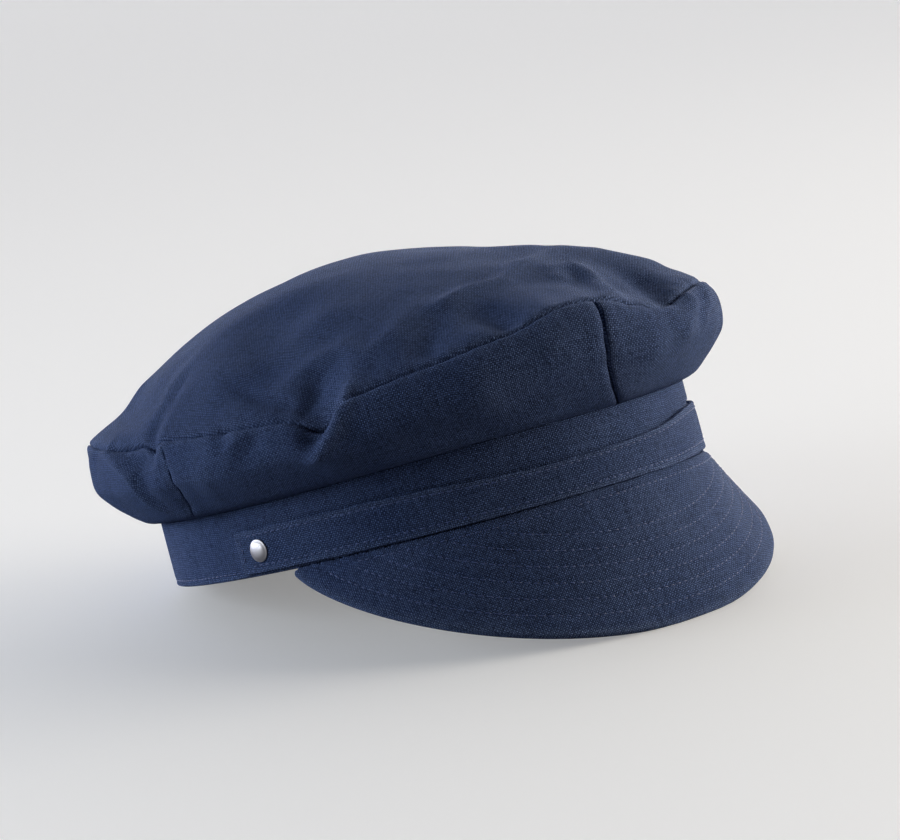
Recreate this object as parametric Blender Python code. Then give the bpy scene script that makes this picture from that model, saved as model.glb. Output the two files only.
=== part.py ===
"""Sailor cap: soft canvas crown, band, chin strap with two studs, and a stitched peak.

The cap is shaped in its own frame (millimetres): the band's lower edge is the plane z = 0,
+Z runs up through the crown, the peak points along -Y and the wearer's right is -X.
A turn is an angle about +Z, from the front of the cap towards the wearer's right.
At the end the whole cap is leaned back until it stands on the back of its band and on the
front of its peak, as it stands on a table.
"""
import bmesh
import bpy
import numpy as np

MM = 0.001

# Driving sizes, in millimetres and degrees
HEAD_LENGTH = 198.0        # inside of the band, front to back
HEAD_WIDTH = 166.0         # inside of the band, side to side
BAND_WALL = 2.0
BAND_HEIGHT = 25.0
CROWN_WALL = 1.6
SEAM_RISE = 29.0           # from the band's top edge up to the rim seam
OVERHANG = 17.0            # how far the rim seam stands outside the band
SWELL = 2.6                # how far the side bellies out below the rim seam
DOME_RISE = 40.0           # from the height of the rim seam up to the middle of the top
APEX_BACK = 8.0            # how far the middle of the top lies behind the middle of the band
FOLD_DEPTH = 4.0           # depth of a full fold
FOLD_WIDTH = 8.0           # half width of a full fold
SEAM_GROOVE = 1.1          # how deep a seam between two side panels is drawn in
PEAK_REACH = 47.2          # width of the peak at its middle, along its slope, to its turned edge
PEAK_EDGE = 1.0            # how far the turned edge stands beyond that
PEAK_ARC = 76.0            # half of the arc that the peak takes of the band
PEAK_SLOPE = 75.0          # slope of the peak below the band's plane, at its middle
PEAK_SLOPE_FALL = 33.0     # how much flatter the slope is at the two ends
PEAK_FULLNESS = 0.93       # power of the peak's outline: smaller is fuller at the ends
PEAK_THICKNESS = 3.2
STRAP_WALL = 1.5
STRAP_HEIGHT = 12.6
STRAP_LOW = 1.2            # the strap's lower edge above the band's lower edge
STRAP_ARC = 88.6           # turn of each end of the strap
STUD_DIAMETER = 7.6
STUD_HEIGHT = 1.3
STUD_TURN = 82.6
STUD_RISE = 8.4            # the stud's middle above the band's lower edge
GAP = 0.3
REST_SINK = 1.0            # how much of the cloth is pressed flat where the cap stands

# How many cells each piece has
SIDE_ROWS = 9
TOP_ROWS = 13
BAND_COLUMNS = 72
STRAP_COLUMNS = 48
PEAK_COLUMNS = 36
PEAK_ROWS = 7

# Side panels: columns, and how much closer they stand near the panel's first seam
PANELS = np.array([
    (30, 0.0),
    (22, 0.5),
    (16, 0.0),
    (20, -0.5),
])

# Round the cap: turn, band top, seam rise, overhang, swell, dome slack (all shares)
SECTIONS = np.array([
    (-180, 0.94, 0.94, 1.00, 0.30, -0.13),
    (-150, 0.95, 0.94, 0.98, 0.35, 0.00),
    (-120, 0.97, 0.96, 0.96, 0.45, 0.38),
    (-90, 0.99, 0.99, 0.94, 0.50, 0.64),
    (-60, 1.01, 1.00, 0.92, 0.50, 0.64),
    (-40, 1.02, 1.00, 0.91, 0.40, 0.46),
    (-27, 1.02, 1.07, 0.95, 0.50, 0.22),
    (-14, 1.01, 1.03, 1.00, 0.60, 0.38),
    (0, 1.00, 1.08, 1.00, 0.60, 0.46),
    (13, 1.00, 1.24, 1.00, 0.50, 0.46),
    (22, 1.00, 1.12, 1.00, 0.50, 0.38),
    (32, 1.00, 1.01, 1.00, 0.50, 0.22),
    (43, 0.98, 0.96, 1.00, 0.45, 0.14),
    (54, 0.96, 0.86, 1.00, 0.35, 0.07),
    (65, 0.94, 0.84, 1.00, 0.30, 0.00),
    (76, 0.92, 0.90, 1.00, 0.20, -0.13),
    (88, 0.91, 0.97, 1.00, 0.10, -0.20),
    (104, 0.90, 1.00, 1.00, 0.05, -0.18),
    (125, 0.91, 1.10, 1.00, 0.00, -0.14),
    (152, 0.93, 1.06, 1.00, 0.10, -0.18),
    (180, 0.94, 0.94, 1.00, 0.30, -0.13),
])

# Up the side: place, outward share, height share, belly share
PROFILE = np.array([
    (0.00, 0.00, 0.00, 0.0),
    (0.15, 0.34, 0.05, 0.0),
    (0.30, 0.62, 0.18, 0.0),
    (0.45, 0.88, 0.33, 0.1),
    (0.60, 1.09, 0.49, 0.4),
    (0.75, 1.12, 0.69, 1.0),
    (0.90, 1.08, 0.88, 0.8),
    (1.00, 1.00, 1.00, 0.0),
])

# Drops of the rim seam: turn, half turn, drop as a share of the seam's rise
RIM_DIPS = np.array([
    (57.5, 4.4, -0.20),
    (94.0, 2.2, -0.09),
    (-6.0, 5.5, -0.09),
])

# Folds, as runs of spots: run, turn, place, half width, depth (shares; less than 0 is a hollow)
FOLDS = np.array([
    (1, 77.5, 1.60, 0.75, 0.20),
    (1, 89.5, 1.44, 0.62, 0.35),
    (1, 95.0, 1.29, 0.62, 0.30),
    (1, 97.5, 1.18, 0.53, 0.25),
    (1, 94.0, 1.09, 0.53, 0.35),
    (1, 91.0, 1.01, 0.50, 0.24),
    (2, 71.0, 1.37, 1.62, -0.45),
    (2, 69.0, 1.17, 1.50, -0.60),
    (3, 74.0, 1.06, 0.62, 0.12),
    (3, 65.5, 1.01, 0.62, 0.23),
    (3, 61.5, 1.00, 0.62, 0.10),
    (4, 63.5, 1.12, 0.56, 0.10),
    (4, 58.5, 1.18, 0.56, 0.30),
    (4, 52.5, 1.18, 0.56, 0.33),
    (4, 47.5, 1.12, 0.56, 0.25),
    (4, 42.0, 1.16, 0.56, 0.30),
    (4, 33.5, 1.29, 0.56, 0.12),
    (5, 56.0, 1.10, 0.50, -0.26),
    (5, 58.5, 1.05, 0.50, -0.70),
    (5, 60.0, 1.04, 0.50, -0.34),
    (6, 59.5, 0.95, 0.65, -0.72),
    (6, 60.0, 0.82, 0.62, -1.10),
    (6, 60.5, 0.66, 0.50, -0.45),
    (7, 61.0, 0.54, 0.50, 0.15),
    (7, 60.0, 0.62, 0.50, 0.43),
    (7, 58.0, 0.75, 0.50, 0.60),
    (7, 55.0, 0.83, 0.50, 0.60),
    (7, 52.7, 0.95, 0.50, 0.49),
    (7, 51.5, 1.03, 0.50, 0.20),
    (8, 70.0, 0.84, 0.50, -0.38),
    (8, 73.0, 0.66, 0.50, -0.20),
    (9, 107.0, 0.98, 0.50, -0.35),
    (9, 101.0, 0.94, 0.55, -0.70),
    (9, 95.0, 0.92, 0.57, -0.70),
    (10, 98.0, 0.84, 0.55, -0.40),
    (10, 96.5, 0.74, 0.50, -0.20),
    (11, 110.5, 0.99, 0.50, 0.29),
    (11, 103.0, 0.83, 0.50, 0.42),
    (11, 98.5, 0.71, 0.50, 0.47),
    (11, 98.5, 0.45, 0.50, 0.43),
    (11, 96.5, 0.27, 0.50, 0.32),
    (11, 93.5, 0.20, 0.50, 0.17),
    (12, 34.0, 1.20, 0.50, 0.15),
    (12, 30.5, 1.23, 0.53, 0.40),
    (12, 21.0, 1.28, 0.55, 0.60),
    (12, 11.5, 1.30, 0.56, 0.60),
    (12, -6.0, 1.38, 0.56, 0.45),
    (12, -25.5, 1.37, 0.56, 0.20),
    (13, 24.0, 1.14, 0.75, -0.55),
    (13, 23.0, 1.05, 0.62, -0.60),
    (14, 32.0, 1.20, 0.62, -0.30),
    (14, 37.5, 1.06, 0.62, -0.45),
    (15, -12.0, 1.28, 0.50, 0.34),
    (15, -7.5, 1.19, 0.50, 0.58),
    (15, 0.0, 1.06, 0.50, 0.58),
    (15, 4.0, 1.01, 0.50, 0.29),
    (16, -20.0, 1.22, 0.75, -0.25),
    (16, -16.5, 1.12, 0.81, -0.70),
    (16, -11.0, 1.02, 0.81, -0.90),
    (17, 9.0, 1.13, 0.56, -0.23),
    (17, 12.0, 1.04, 0.56, -0.30),
    (18, 17.5, 0.93, 1.00, 0.12),
    (18, 18.0, 0.74, 1.00, 0.23),
    (19, -25.0, 0.93, 0.50, 0.17),
    (19, -20.0, 0.72, 0.50, 0.19),
    (20, -6.5, 0.84, 0.62, -0.15),
    (20, -7.5, 0.59, 0.62, -0.25),
    (21, 23.5, 0.79, 0.88, -0.12),
    (21, 27.5, 0.71, 0.88, -0.23),
    (22, 40.0, 0.60, 0.75, 0.12),
    (22, 31.0, 0.45, 0.75, 0.20),
    (23, 44.0, 0.35, 0.75, -0.12),
    (23, 33.0, 0.28, 0.75, -0.15),
    (24, 103.0, 1.10, 0.75, -0.40),
    (24, 118.0, 1.12, 1.12, -0.90),
    (24, 138.0, 1.12, 1.12, -0.60),
    (25, -34.0, 0.95, 0.69, -0.47),
    (25, -34.0, 0.60, 0.69, -0.30),
    (26, -62.0, 1.02, 0.75, -0.30),
    (26, -62.0, 0.66, 0.75, -0.47),
    (27, -48.0, 1.02, 0.50, 0.38),
    (27, -44.0, 1.20, 0.56, 0.20),
    (28, -80.0, 0.95, 0.62, -0.47),
    (28, -84.0, 0.58, 0.62, -0.25),
    (29, -104.0, 1.02, 0.56, 0.33),
    (29, -98.0, 1.20, 0.62, 0.15),
    (30, -118.0, 1.00, 0.75, -0.40),
    (30, -116.0, 0.60, 0.75, -0.40),
    (31, -135.0, 0.92, 0.62, -0.42),
    (31, -132.0, 0.55, 0.62, -0.20),
    (32, -152.0, 0.96, 0.75, -0.38),
    (32, -150.0, 0.58, 0.75, -0.30),
    (33, -165.0, 1.00, 0.50, 0.30),
    (33, -160.0, 1.15, 0.62, 0.15),
    (34, 165.0, 0.92, 0.62, -0.40),
    (34, 168.0, 0.58, 0.62, -0.20),
    (35, 148.0, 0.97, 0.75, -0.45),
    (35, 146.0, 0.58, 0.75, -0.30),
    (36, 131.0, 1.00, 0.50, 0.33),
    (36, 127.0, 1.20, 0.62, 0.17),
    (37, 119.0, 0.92, 0.62, -0.35),
    (37, 121.0, 0.62, 0.62, -0.20),
    (38, -97.0, 1.42, 1.50, -0.40),
    (38, -65.0, 1.25, 1.50, -0.40),
    (39, -160.0, 1.35, 1.50, -0.38),
    (39, -122.0, 1.25, 1.50, -0.38),
    (40, 168.0, 1.20, 1.38, -0.35),
    (40, 142.0, 1.22, 1.38, -0.35),
])

# Turn of each seam between two side panels: at the band, half way up, at the rim
SEAMS = np.array([
    (-0.5, 7.3, 7.5),
    (98.0, 90.3, 91.0),
    (180.0, 180.0, 180.0),
    (263.0, 269.0, 270.0),
])

# Strap: turn, extra height of its lower and upper edge (shares of its height), and how far
# these two edges stand off the band (shares of its wall)
STRAP_LIE = np.array([
    (-90, 0.00, 0.04, 0.0, 0.0),
    (-60, 0.03, 0.27, 0.1, 0.0),
    (-42, 0.05, 0.31, 0.1, 0.0),
    (-25, 0.02, 0.25, 0.1, 0.0),
    (-12, -0.02, 0.05, 0.0, 0.0),
    (0, 0.00, -0.05, 0.0, 0.0),
    (25, 0.00, -0.08, 0.0, 0.0),
    (50, 0.00, 0.10, 0.0, 0.0),
    (70, 0.00, 0.13, 0.0, 0.0),
    (90, 0.00, 0.12, 0.0, 0.0),
])

LENGTH_RADIUS = HEAD_LENGTH / 2 + BAND_WALL
WIDTH_RADIUS = HEAD_WIDTH / 2 + BAND_WALL


def smooth_column(table, column, at, period=None):
    """Read one column of a table at any place, on a smooth curve through its rows."""
    x, y = table[:, 0], table[:, column]
    at = np.asarray(at, float)
    if period:
        at = (at - x[0]) % period + x[0]
    i = np.clip(np.searchsorted(x, at, side="right") - 1, 0, len(x) - 2)
    step = x[i + 1] - x[i]
    slope = np.gradient(y, x)
    if period:
        slope[0] = slope[-1] = (y[1] - y[-2]) / (x[1] - x[0] + x[-1] - x[-2])
    u = np.clip((at - x[i]) / step, 0, 1)
    rise = (2 * u**3 - 3 * u**2 + 1) * y[i] + (3 * u**2 - 2 * u**3) * y[i + 1]
    return rise + step * ((u**3 - 2 * u**2 + u) * slope[i] + (u**3 - u**2) * slope[i + 1])


def around(turn):
    """Point of the band's outside at a turn, and the level outward direction there."""
    a = np.radians(turn)
    flat = np.zeros_like(a)
    point = np.stack([-WIDTH_RADIUS * np.sin(a), -LENGTH_RADIUS * np.cos(a), flat], -1)
    out = np.stack([-LENGTH_RADIUS * np.sin(a), -WIDTH_RADIUS * np.cos(a), flat], -1)
    return point, out / np.linalg.norm(out, axis=-1, keepdims=True)


def band_top(turn):
    return BAND_HEIGHT * smooth_column(SECTIONS, 1, turn, 360)


def rim_height(turn):
    height = band_top(turn) + SEAM_RISE * smooth_column(SECTIONS, 2, turn, 360)
    for at, half, drop in RIM_DIPS:
        away = (turn - at + 180) % 360 - 180
        height = height + SEAM_RISE * drop * np.exp(-(away / half) ** 2)
    return height


def calm_rim(turn):
    """Rim height without its waves: high in front, low behind. The dome grows from it."""
    return BAND_HEIGHT + SEAM_RISE * (0.96 + 0.04 * np.cos(np.radians(turn)))


def plain_crown(turn, place):
    """Crown without its folds. Place runs from 0 at the band over 1 at the rim to 2."""
    point, out = around(turn)
    low = band_top(turn) + GAP
    rim = rim_height(turn)
    overhang = OVERHANG * smooth_column(SECTIONS, 3, turn, 360)
    swell = SWELL * smooth_column(SECTIONS, 4, turn, 360)
    slack = smooth_column(SECTIONS, 5, turn, 360)
    up = np.clip(place, 0, 1)
    root = (BAND_WALL - GAP) * (1 - np.clip(up / 0.15, 0, 1)) ** 2
    away = overhang * smooth_column(PROFILE, 1, up) + swell * smooth_column(PROFILE, 3, up) - root
    side = point + out * away[..., None]
    side[..., 2] = low + (rim - low) * smooth_column(PROFILE, 2, up)
    share = np.clip(2 - place, 0, 1)
    middle = np.array([0.0, APEX_BACK, 0.0])
    top = middle + (point + out * overhang[..., None] - middle) * share[..., None]
    apex = BAND_HEIGHT + SEAM_RISE + DOME_RISE
    calm = calm_rim(turn)
    dome = share ** 2 * (1 + slack * (1 - share))
    fade = np.clip(1 - (place - 1) / 0.42, 0, 1) ** 2
    top[..., 2] = calm + (apex - calm) * (1 - dome) + (rim - calm) * fade
    return np.where((place <= 1)[..., None], side, top)


def seam_turn(seam, place):
    """Turn of a seam between two side panels, on a curve through its three turns."""
    low, middle, high = seam
    p = np.clip(place, 0, 1)
    return low * (1 - p) * (1 - 2 * p) + middle * 4 * p * (1 - p) + high * p * (2 * p - 1)


def one_run(rows, points):
    """Lift from one fold: the nearest stretch between two of its spots decides."""
    spots = plain_crown(rows[:, 1], rows[:, 2])
    lift = np.zeros(points.shape[:-1])
    for k in range(len(rows) - 1):
        run = spots[k + 1] - spots[k]
        along = np.clip(((points - spots[k]) @ run) / (run @ run), 0, 1)
        away = np.linalg.norm(points - spots[k] - along[..., None] * run, axis=-1)
        half = FOLD_WIDTH * (rows[k, 3] + (rows[k + 1, 3] - rows[k, 3]) * along)
        depth = FOLD_DEPTH * (rows[k, 4] + (rows[k + 1, 4] - rows[k, 4]) * along)
        stretch = depth * np.exp(-(away / half) ** 2)
        lift = np.where(np.abs(stretch) > np.abs(lift), stretch, lift)
    return lift


def fold_lift(turn, place):
    """How far the folds and the seams lift the cloth along its own outward direction."""
    points = plain_crown(turn, place)
    lift = np.zeros_like(turn)
    for number in np.unique(FOLDS[:, 0]):
        lift = lift + one_run(FOLDS[FOLDS[:, 0] == number], points)
    groove = np.clip(1 - place, 0, 1) * np.clip(place / 0.15, 0, 1)
    for seam in SEAMS:
        away = np.abs((turn - seam_turn(seam, place) + 180) % 360 - 180)
        lift = lift - SEAM_GROOVE * np.clip(groove * 6, 0, 1) * np.exp(-(away / 2.2) ** 2)
    return lift * np.clip(place / 0.2, 0, 1)


def facing(surface, turn, place, turn_step=1.0, place_step=0.03):
    """Outward direction of a surface of turn and place, from its own slopes."""
    high, low = np.clip(place + place_step, 0, 2), np.clip(place - place_step, 0, 2)
    across = surface(turn - turn_step, place) - surface(turn + turn_step, place)
    normal = np.cross(across, surface(turn, high) - surface(turn, low))
    return normal / np.maximum(np.linalg.norm(normal, axis=-1, keepdims=True), 1e-9)


def crown(turn, place):
    """Outside of the crown with its folds, and the direction that it faces."""
    turn, place = np.broadcast_arrays(np.asarray(turn, float), np.asarray(place, float))
    plain_facing = facing(plain_crown, turn, np.minimum(place, 1.985))
    return plain_crown(turn, place) + plain_facing * fold_lift(turn, place)[..., None]


def crown_shell(turn, place):
    """Outside and inside of the crown's cloth at a grid of turns and places."""
    outside = crown(turn, place)
    normal = facing(crown, turn, np.minimum(place, 1.97))
    mitre = 1 + 0.3 * np.exp(-((place - 1) / 0.05) ** 2)
    return outside, outside - normal * (CROWN_WALL * mitre)[..., None]


def panel_turns(panel, places):
    """Turns of a side panel's columns, at each of its places, between its two seams."""
    columns, crowding = PANELS[panel]
    share = np.linspace(0, 1, int(columns) + 1)
    share = share - crowding * share * (1 - share)
    up = np.clip(places, 0, 1)[:, None]
    start, end = seam_turn(SEAMS[panel], up), seam_turn(SEAMS[(panel + 1) % 4], up)
    end = np.where(end < start, end + 360, end)
    return start + (end - start) * share


def build_solid(name, points, faces):
    """Make one closed body from points in the cap's frame and lists of corner numbers."""
    mesh = bpy.data.meshes.new(name)
    mesh.from_pydata([tuple(p) for p in points], [], [tuple(f) for f in faces])
    body = bmesh.new()
    body.from_mesh(mesh)
    bmesh.ops.recalc_face_normals(body, faces=body.faces[:])
    bmesh.ops.triangulate(body, faces=body.faces[:], quad_method="SHORT_EDGE")
    body.to_mesh(mesh)
    body.free()
    return bpy.data.objects.new(name, mesh)


def shell_faces(rows, columns, ring, middle):
    """Corner numbers of a shell: outside grid, inside grid, then the two middle points."""
    count = rows * columns
    faces = []
    across = columns if ring else columns - 1
    for i in range(rows - 1):
        for j in range(across):
            k = (j + 1) % columns
            quad = (i * columns + j, i * columns + k, (i + 1) * columns + k, (i + 1) * columns + j)
            faces.append(quad)
            faces.append(tuple(count + q for q in reversed(quad)))
    for j in range(across):
        k = (j + 1) % columns
        last = (rows - 1) * columns
        faces.append((j, k, count + k, count + j))
        if middle:
            faces.append((last + j, last + k, 2 * count))
            faces.append((count + last + k, count + last + j, 2 * count + 1))
        else:
            faces.append((last + k, last + j, count + last + j, count + last + k))
    if not ring:
        for i in range(rows - 1):
            first, second = i * columns, (i + 1) * columns
            faces.append((first, second, count + second, count + first))
            first, second = first + columns - 1, second + columns - 1
            faces.append((second, first, count + first, count + second))
    return faces


def build_shell(name, outside, inside, ring=False, middle=None):
    rows, columns = outside.shape[:2]
    points = np.concatenate([outside.reshape(-1, 3), inside.reshape(-1, 3)])
    if middle is not None:
        points = np.concatenate([points, middle])
    return build_solid(name, points, shell_faces(rows, columns, ring, middle is not None))


def build_side_panel(panel, name):
    places = np.linspace(0, 1, SIDE_ROWS + 1)
    turns = panel_turns(panel, places)
    places[-1] -= 0.5 * GAP / (1.2 * np.hypot(OVERHANG, SEAM_RISE))
    half_gap = np.degrees(0.5 * GAP / (LENGTH_RADIUS + OVERHANG))
    turns[:, 0] += half_gap * 1.25
    turns[:, -1] -= half_gap * 1.25
    grid = np.broadcast_to(places[:, None], turns.shape)
    outside, inside = crown_shell(turns, grid)
    return build_shell(name, outside, inside)


def build_crown_top():
    turns = np.concatenate([panel_turns(p, np.array([1.0]))[0, :-1] for p in range(4)])
    places = 1 + (np.arange(TOP_ROWS) / TOP_ROWS) ** 1.4   # closer rows near the rim, where the folds are
    places[0] += 0.5 * GAP / WIDTH_RADIUS
    turn, place = np.meshgrid(turns, places)
    outside, inside = crown_shell(turn, place)
    tip = crown(np.array([0.0]), np.array([2.0]))[0]
    middle = np.array([tip, tip - (0, 0, CROWN_WALL)])
    return build_shell("crown_top", outside, inside, ring=True, middle=middle)


def build_band():
    turns = np.linspace(0, 360, BAND_COLUMNS + 1)[:-1]
    point, out = around(turns)
    rows = []
    for share in (0.0, 0.5, 1.0):
        row = point.copy()
        row[:, 2] = band_top(turns) * share
        rows.append(row)
    outside = np.array(rows)
    inside = outside - out * BAND_WALL
    return build_shell("band", outside, inside, ring=True)


def strap_at(turn, share):
    """Height and standing off of the strap's back, from its lower to its upper edge."""
    low = STRAP_LOW + STRAP_HEIGHT * smooth_column(STRAP_LIE, 1, turn)
    high = STRAP_LOW + STRAP_HEIGHT * (1 + smooth_column(STRAP_LIE, 2, turn))
    off_low = STRAP_WALL * smooth_column(STRAP_LIE, 3, turn)
    off_high = STRAP_WALL * smooth_column(STRAP_LIE, 4, turn)
    return low + (high - low) * share, GAP + off_low + (off_high - off_low) * share


def build_strap():
    turns = np.linspace(-STRAP_ARC, STRAP_ARC, STRAP_COLUMNS + 1)
    point, out = around(turns)
    inside, outside = [], []
    for share in (0.0, 0.1, 0.5, 0.9, 1.0):
        edge = 0.15 * STRAP_WALL if share in (0.0, 1.0) else 0.0
        height, off = strap_at(turns, share)
        row = point + out * (off + edge)[:, None]
        row[:, 2] = height
        inside.append(row)
        outside.append(row + out * (STRAP_WALL - 2 * edge))
    return build_shell("strap", np.array(outside), np.array(inside))


def peak_shape(turn, share):
    """Top side of the peak, and its facing; share runs from the band to the outer edge."""
    point, out = around(turn)
    u = turn / PEAK_ARC
    reach = PEAK_REACH * np.clip(1 - u * u, 0, 1) ** PEAK_FULLNESS
    slope = np.radians(PEAK_SLOPE - PEAK_SLOPE_FALL * u * u)
    along = reach * share
    top = point + out * (GAP + STRAP_WALL + along * np.cos(slope))[..., None]
    top[..., 2] = STRAP_LOW - 2 * GAP - along * np.sin(slope)
    up = np.stack([0 * u, 0 * u, np.cos(slope)], -1) + out * np.sin(slope)[..., None]
    return top, up


def build_peak():
    turns = np.linspace(-PEAK_ARC, PEAK_ARC, PEAK_COLUMNS + 1) * 0.985
    shares = np.concatenate([[0.0, 0.09], np.linspace(0.2, 1, PEAK_ROWS - 1)])
    turn, share = np.meshgrid(turns, shares)
    top, up = peak_shape(turn, share)
    reach = PEAK_REACH * (1 - (turn / PEAK_ARC) ** 2) ** PEAK_FULLNESS
    thick = STRAP_WALL + (PEAK_THICKNESS - STRAP_WALL) * np.clip(reach * share / (1.25 * PEAK_THICKNESS), 0, 1)
    under = top - up * thick[..., None]
    out = around(turns)[1]
    under[0] = top[0] - out * 0.93 * STRAP_WALL
    # The edge is turned over a cord's width: its middle stands out and its corners are cut
    beyond = np.cross(around(turns - 0.5)[0] - around(turns + 0.5)[0], up[-1])
    beyond *= PEAK_EDGE / np.linalg.norm(beyond, axis=-1, keepdims=True)
    deep = up[-1] * thick[-1][:, None]
    top = np.concatenate([top, [top[-1] + beyond - 0.28 * deep]])
    under = np.concatenate([under, [top[-1] - 0.44 * deep]])
    return build_shell("peak", top, under)


def build_stud(name, turn):
    """Low domed stud on the outside of the strap, its flat back against the cloth."""
    point, out = around(np.array([turn]))
    point, out = point[0], out[0]
    off = strap_at(np.array([turn]), 0.5)[1][0]
    side = np.cross((0.0, 0.0, 1.0), out)
    centre = point + out * (off + STRAP_WALL + GAP) + (0, 0, STUD_RISE)
    rings = ((0.86, 0.0), (1.0, 0.18), (0.96, 0.45), (0.70, 0.82), (0.36, 0.96))
    count = 18
    points = []
    for radius, height in rings:
        for k in range(count):
            a = 2 * np.pi * k / count
            reach = radius * STUD_DIAMETER / 2
            level = (side * np.cos(a) + np.array([0, 0, 1.0]) * np.sin(a)) * reach
            points.append(centre + level + out * height * STUD_HEIGHT)
    points.append(centre + out * STUD_HEIGHT)
    faces = [tuple(range(count))]
    for i in range(len(rings) - 1):
        for k in range(count):
            n = (k + 1) % count
            faces.append((i * count + k, i * count + n, (i + 1) * count + n, (i + 1) * count + k))
    last = (len(rings) - 1) * count
    for k in range(count):
        faces.append((last + k, last + (k + 1) % count, len(points) - 1))
    return build_solid(name, points, faces)


def rest_lean(pieces):
    """Lean of the cap, in radians, at which its peak comes down to the level of its band."""
    heel = np.array([LENGTH_RADIUS, 0.0])
    lean = 0.0
    for vertex in pieces["peak"].data.vertices:
        lean = max(lean, np.arctan2(heel[1] - vertex.co.z, heel[0] - vertex.co.y))
    return lean


def stand_up(pieces):
    """Lean the cap back to its rest, press it flat where it stands and centre it."""
    lean = rest_lean(pieces)
    corners = []
    for piece in pieces.values():
        for vertex in piece.data.vertices:
            x, y, z = vertex.co
            y, z = y * np.cos(lean) + z * np.sin(lean), z * np.cos(lean) - y * np.sin(lean)
            vertex.co = (x, y, z)
            corners.append((x, y, z))
    corners = np.array(corners)
    floor = corners[:, 2].min() + REST_SINK
    middle = (corners[:, :2].min(axis=0) + corners[:, :2].max(axis=0)) / 2
    for piece in pieces.values():
        for vertex in piece.data.vertices:
            x, y, z = vertex.co
            vertex.co = ((x - middle[0]) * MM, (y - middle[1]) * MM, max(z - floor, 0.0) * MM)
    return np.degrees(lean), middle, floor


def finish(piece, colour, roughness, metallic):
    material = bpy.data.materials.new(piece.name + "_material")
    material.use_nodes = True
    shader = material.node_tree.nodes["Principled BSDF"]
    shader.inputs["Base Color"].default_value = (*colour, 1.0)
    shader.inputs["Roughness"].default_value = roughness
    shader.inputs["Metallic"].default_value = metallic
    piece.data.materials.append(material)
    bpy.context.scene.collection.objects.link(piece)


def main():
    for old in list(bpy.data.objects):
        bpy.data.objects.remove(old)
    pieces = {"crown_top": build_crown_top()}
    names = ("side_front_right", "side_back_right", "side_back_left", "side_front_left")
    for panel, name in enumerate(names):
        pieces[name] = build_side_panel(panel, name)
    pieces["band"] = build_band()
    pieces["strap"] = build_strap()
    pieces["peak"] = build_peak()
    pieces["stud_right"] = build_stud("stud_right", STUD_TURN)
    pieces["stud_left"] = build_stud("stud_left", -STUD_TURN)
    lean, middle, floor = stand_up(pieces)
    for name, piece in pieces.items():
        metal = name.startswith("stud")
        colour = (0.60, 0.60, 0.62) if metal else (0.028, 0.045, 0.105)
        finish(piece, colour, 0.3 if metal else 0.85, 1.0 if metal else 0.0)
    print("lean %.3f degrees, middle %s mm, floor %.3f mm" % (lean, middle, floor))


main()
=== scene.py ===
# %% [markdown]
# # A sailor cap in navy canvas
#
# The real cap is sewn from a few pieces of heavy cotton canvas. A round top is joined to four
# side panels along a rim seam, and the side panels stand on an upright band. A strap lies round
# the front of the band between two metal studs, and a stiff peak is quilted with rows of thread.
# This lesson dresses the plain CAD model of the cap: each flat-coloured solid gives way to a
# fine piece of cloth in the same place, and then come thread, metal, light and a camera.

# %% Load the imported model
import math

import bmesh
import bpy
import numpy as np
from mathutils import Matrix, Vector


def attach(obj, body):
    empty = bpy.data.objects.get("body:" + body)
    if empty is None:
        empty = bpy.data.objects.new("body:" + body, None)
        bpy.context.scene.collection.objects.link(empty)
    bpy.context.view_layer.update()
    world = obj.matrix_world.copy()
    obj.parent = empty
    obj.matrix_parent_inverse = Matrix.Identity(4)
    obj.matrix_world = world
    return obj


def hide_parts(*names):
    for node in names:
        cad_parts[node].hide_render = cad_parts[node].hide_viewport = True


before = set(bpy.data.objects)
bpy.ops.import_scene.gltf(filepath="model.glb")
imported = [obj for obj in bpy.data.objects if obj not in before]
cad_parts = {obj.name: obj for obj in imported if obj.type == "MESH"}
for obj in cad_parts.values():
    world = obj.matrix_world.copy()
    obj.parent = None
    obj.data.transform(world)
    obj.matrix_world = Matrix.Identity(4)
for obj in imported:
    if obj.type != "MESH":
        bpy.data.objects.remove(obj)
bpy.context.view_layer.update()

# %% [markdown]
# ## Two frames
#
# A cap is easiest to draw upright, with the lower edge of its band level: turns are measured
# about the upright axis, from the front towards the wearer's right. On a table it leans back on
# the heel of its band and on the front of its peak. So every shape below is worked out upright,
# in millimetres, and one function leans it, sets it on the floor and changes to metres.

# %% From the upright cap to the cap at rest
LEAN = math.radians(12.270)
REST_SHIFT = np.array([0.181, -2.407, 20.465])


def lean_back(points):
    """Turn points or directions from the upright cap to the cap as it rests."""
    x, y, z = np.moveaxis(np.asarray(points, float), -1, 0)
    cos, sin = math.cos(LEAN), math.sin(LEAN)
    return np.stack([x, y * cos + z * sin, z * cos - y * sin], -1)


def at_rest(points):
    """Points of the upright cap in mm, where they come to rest, in metres."""
    moved = lean_back(points) + REST_SHIFT
    moved[..., 2] = np.maximum(moved[..., 2], 0.0)
    return moved * 0.001


print("lean of the cap:", round(math.degrees(LEAN), 2), "degrees")

# %% [markdown]
# ## The camera
#
# The photograph was taken from a little above the table with a long lens, which keeps the cap's
# proportions calm. The camera stands 1.1 m away, 40 degrees round from the front towards the
# wearer's right. It is placed in the upright cap's frame and then leaned with it, so that the
# small roll of the picture comes out by itself.

# %% Place the camera
CAMERA_TURN, CAMERA_RISE, CAMERA_ROLL = (math.radians(a) for a in (40.0, 3.23, 14.78))
CAMERA_REACH = 1100.0      # mm
FOCAL_PIXELS = 3216.2      # focal length in pixels of the 900 x 840 picture
PICTURE = np.array([900.0, 840.0])
CAP_PIXEL = np.array([435.86, 519.08])   # where the middle of the band's lower edge is seen

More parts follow.
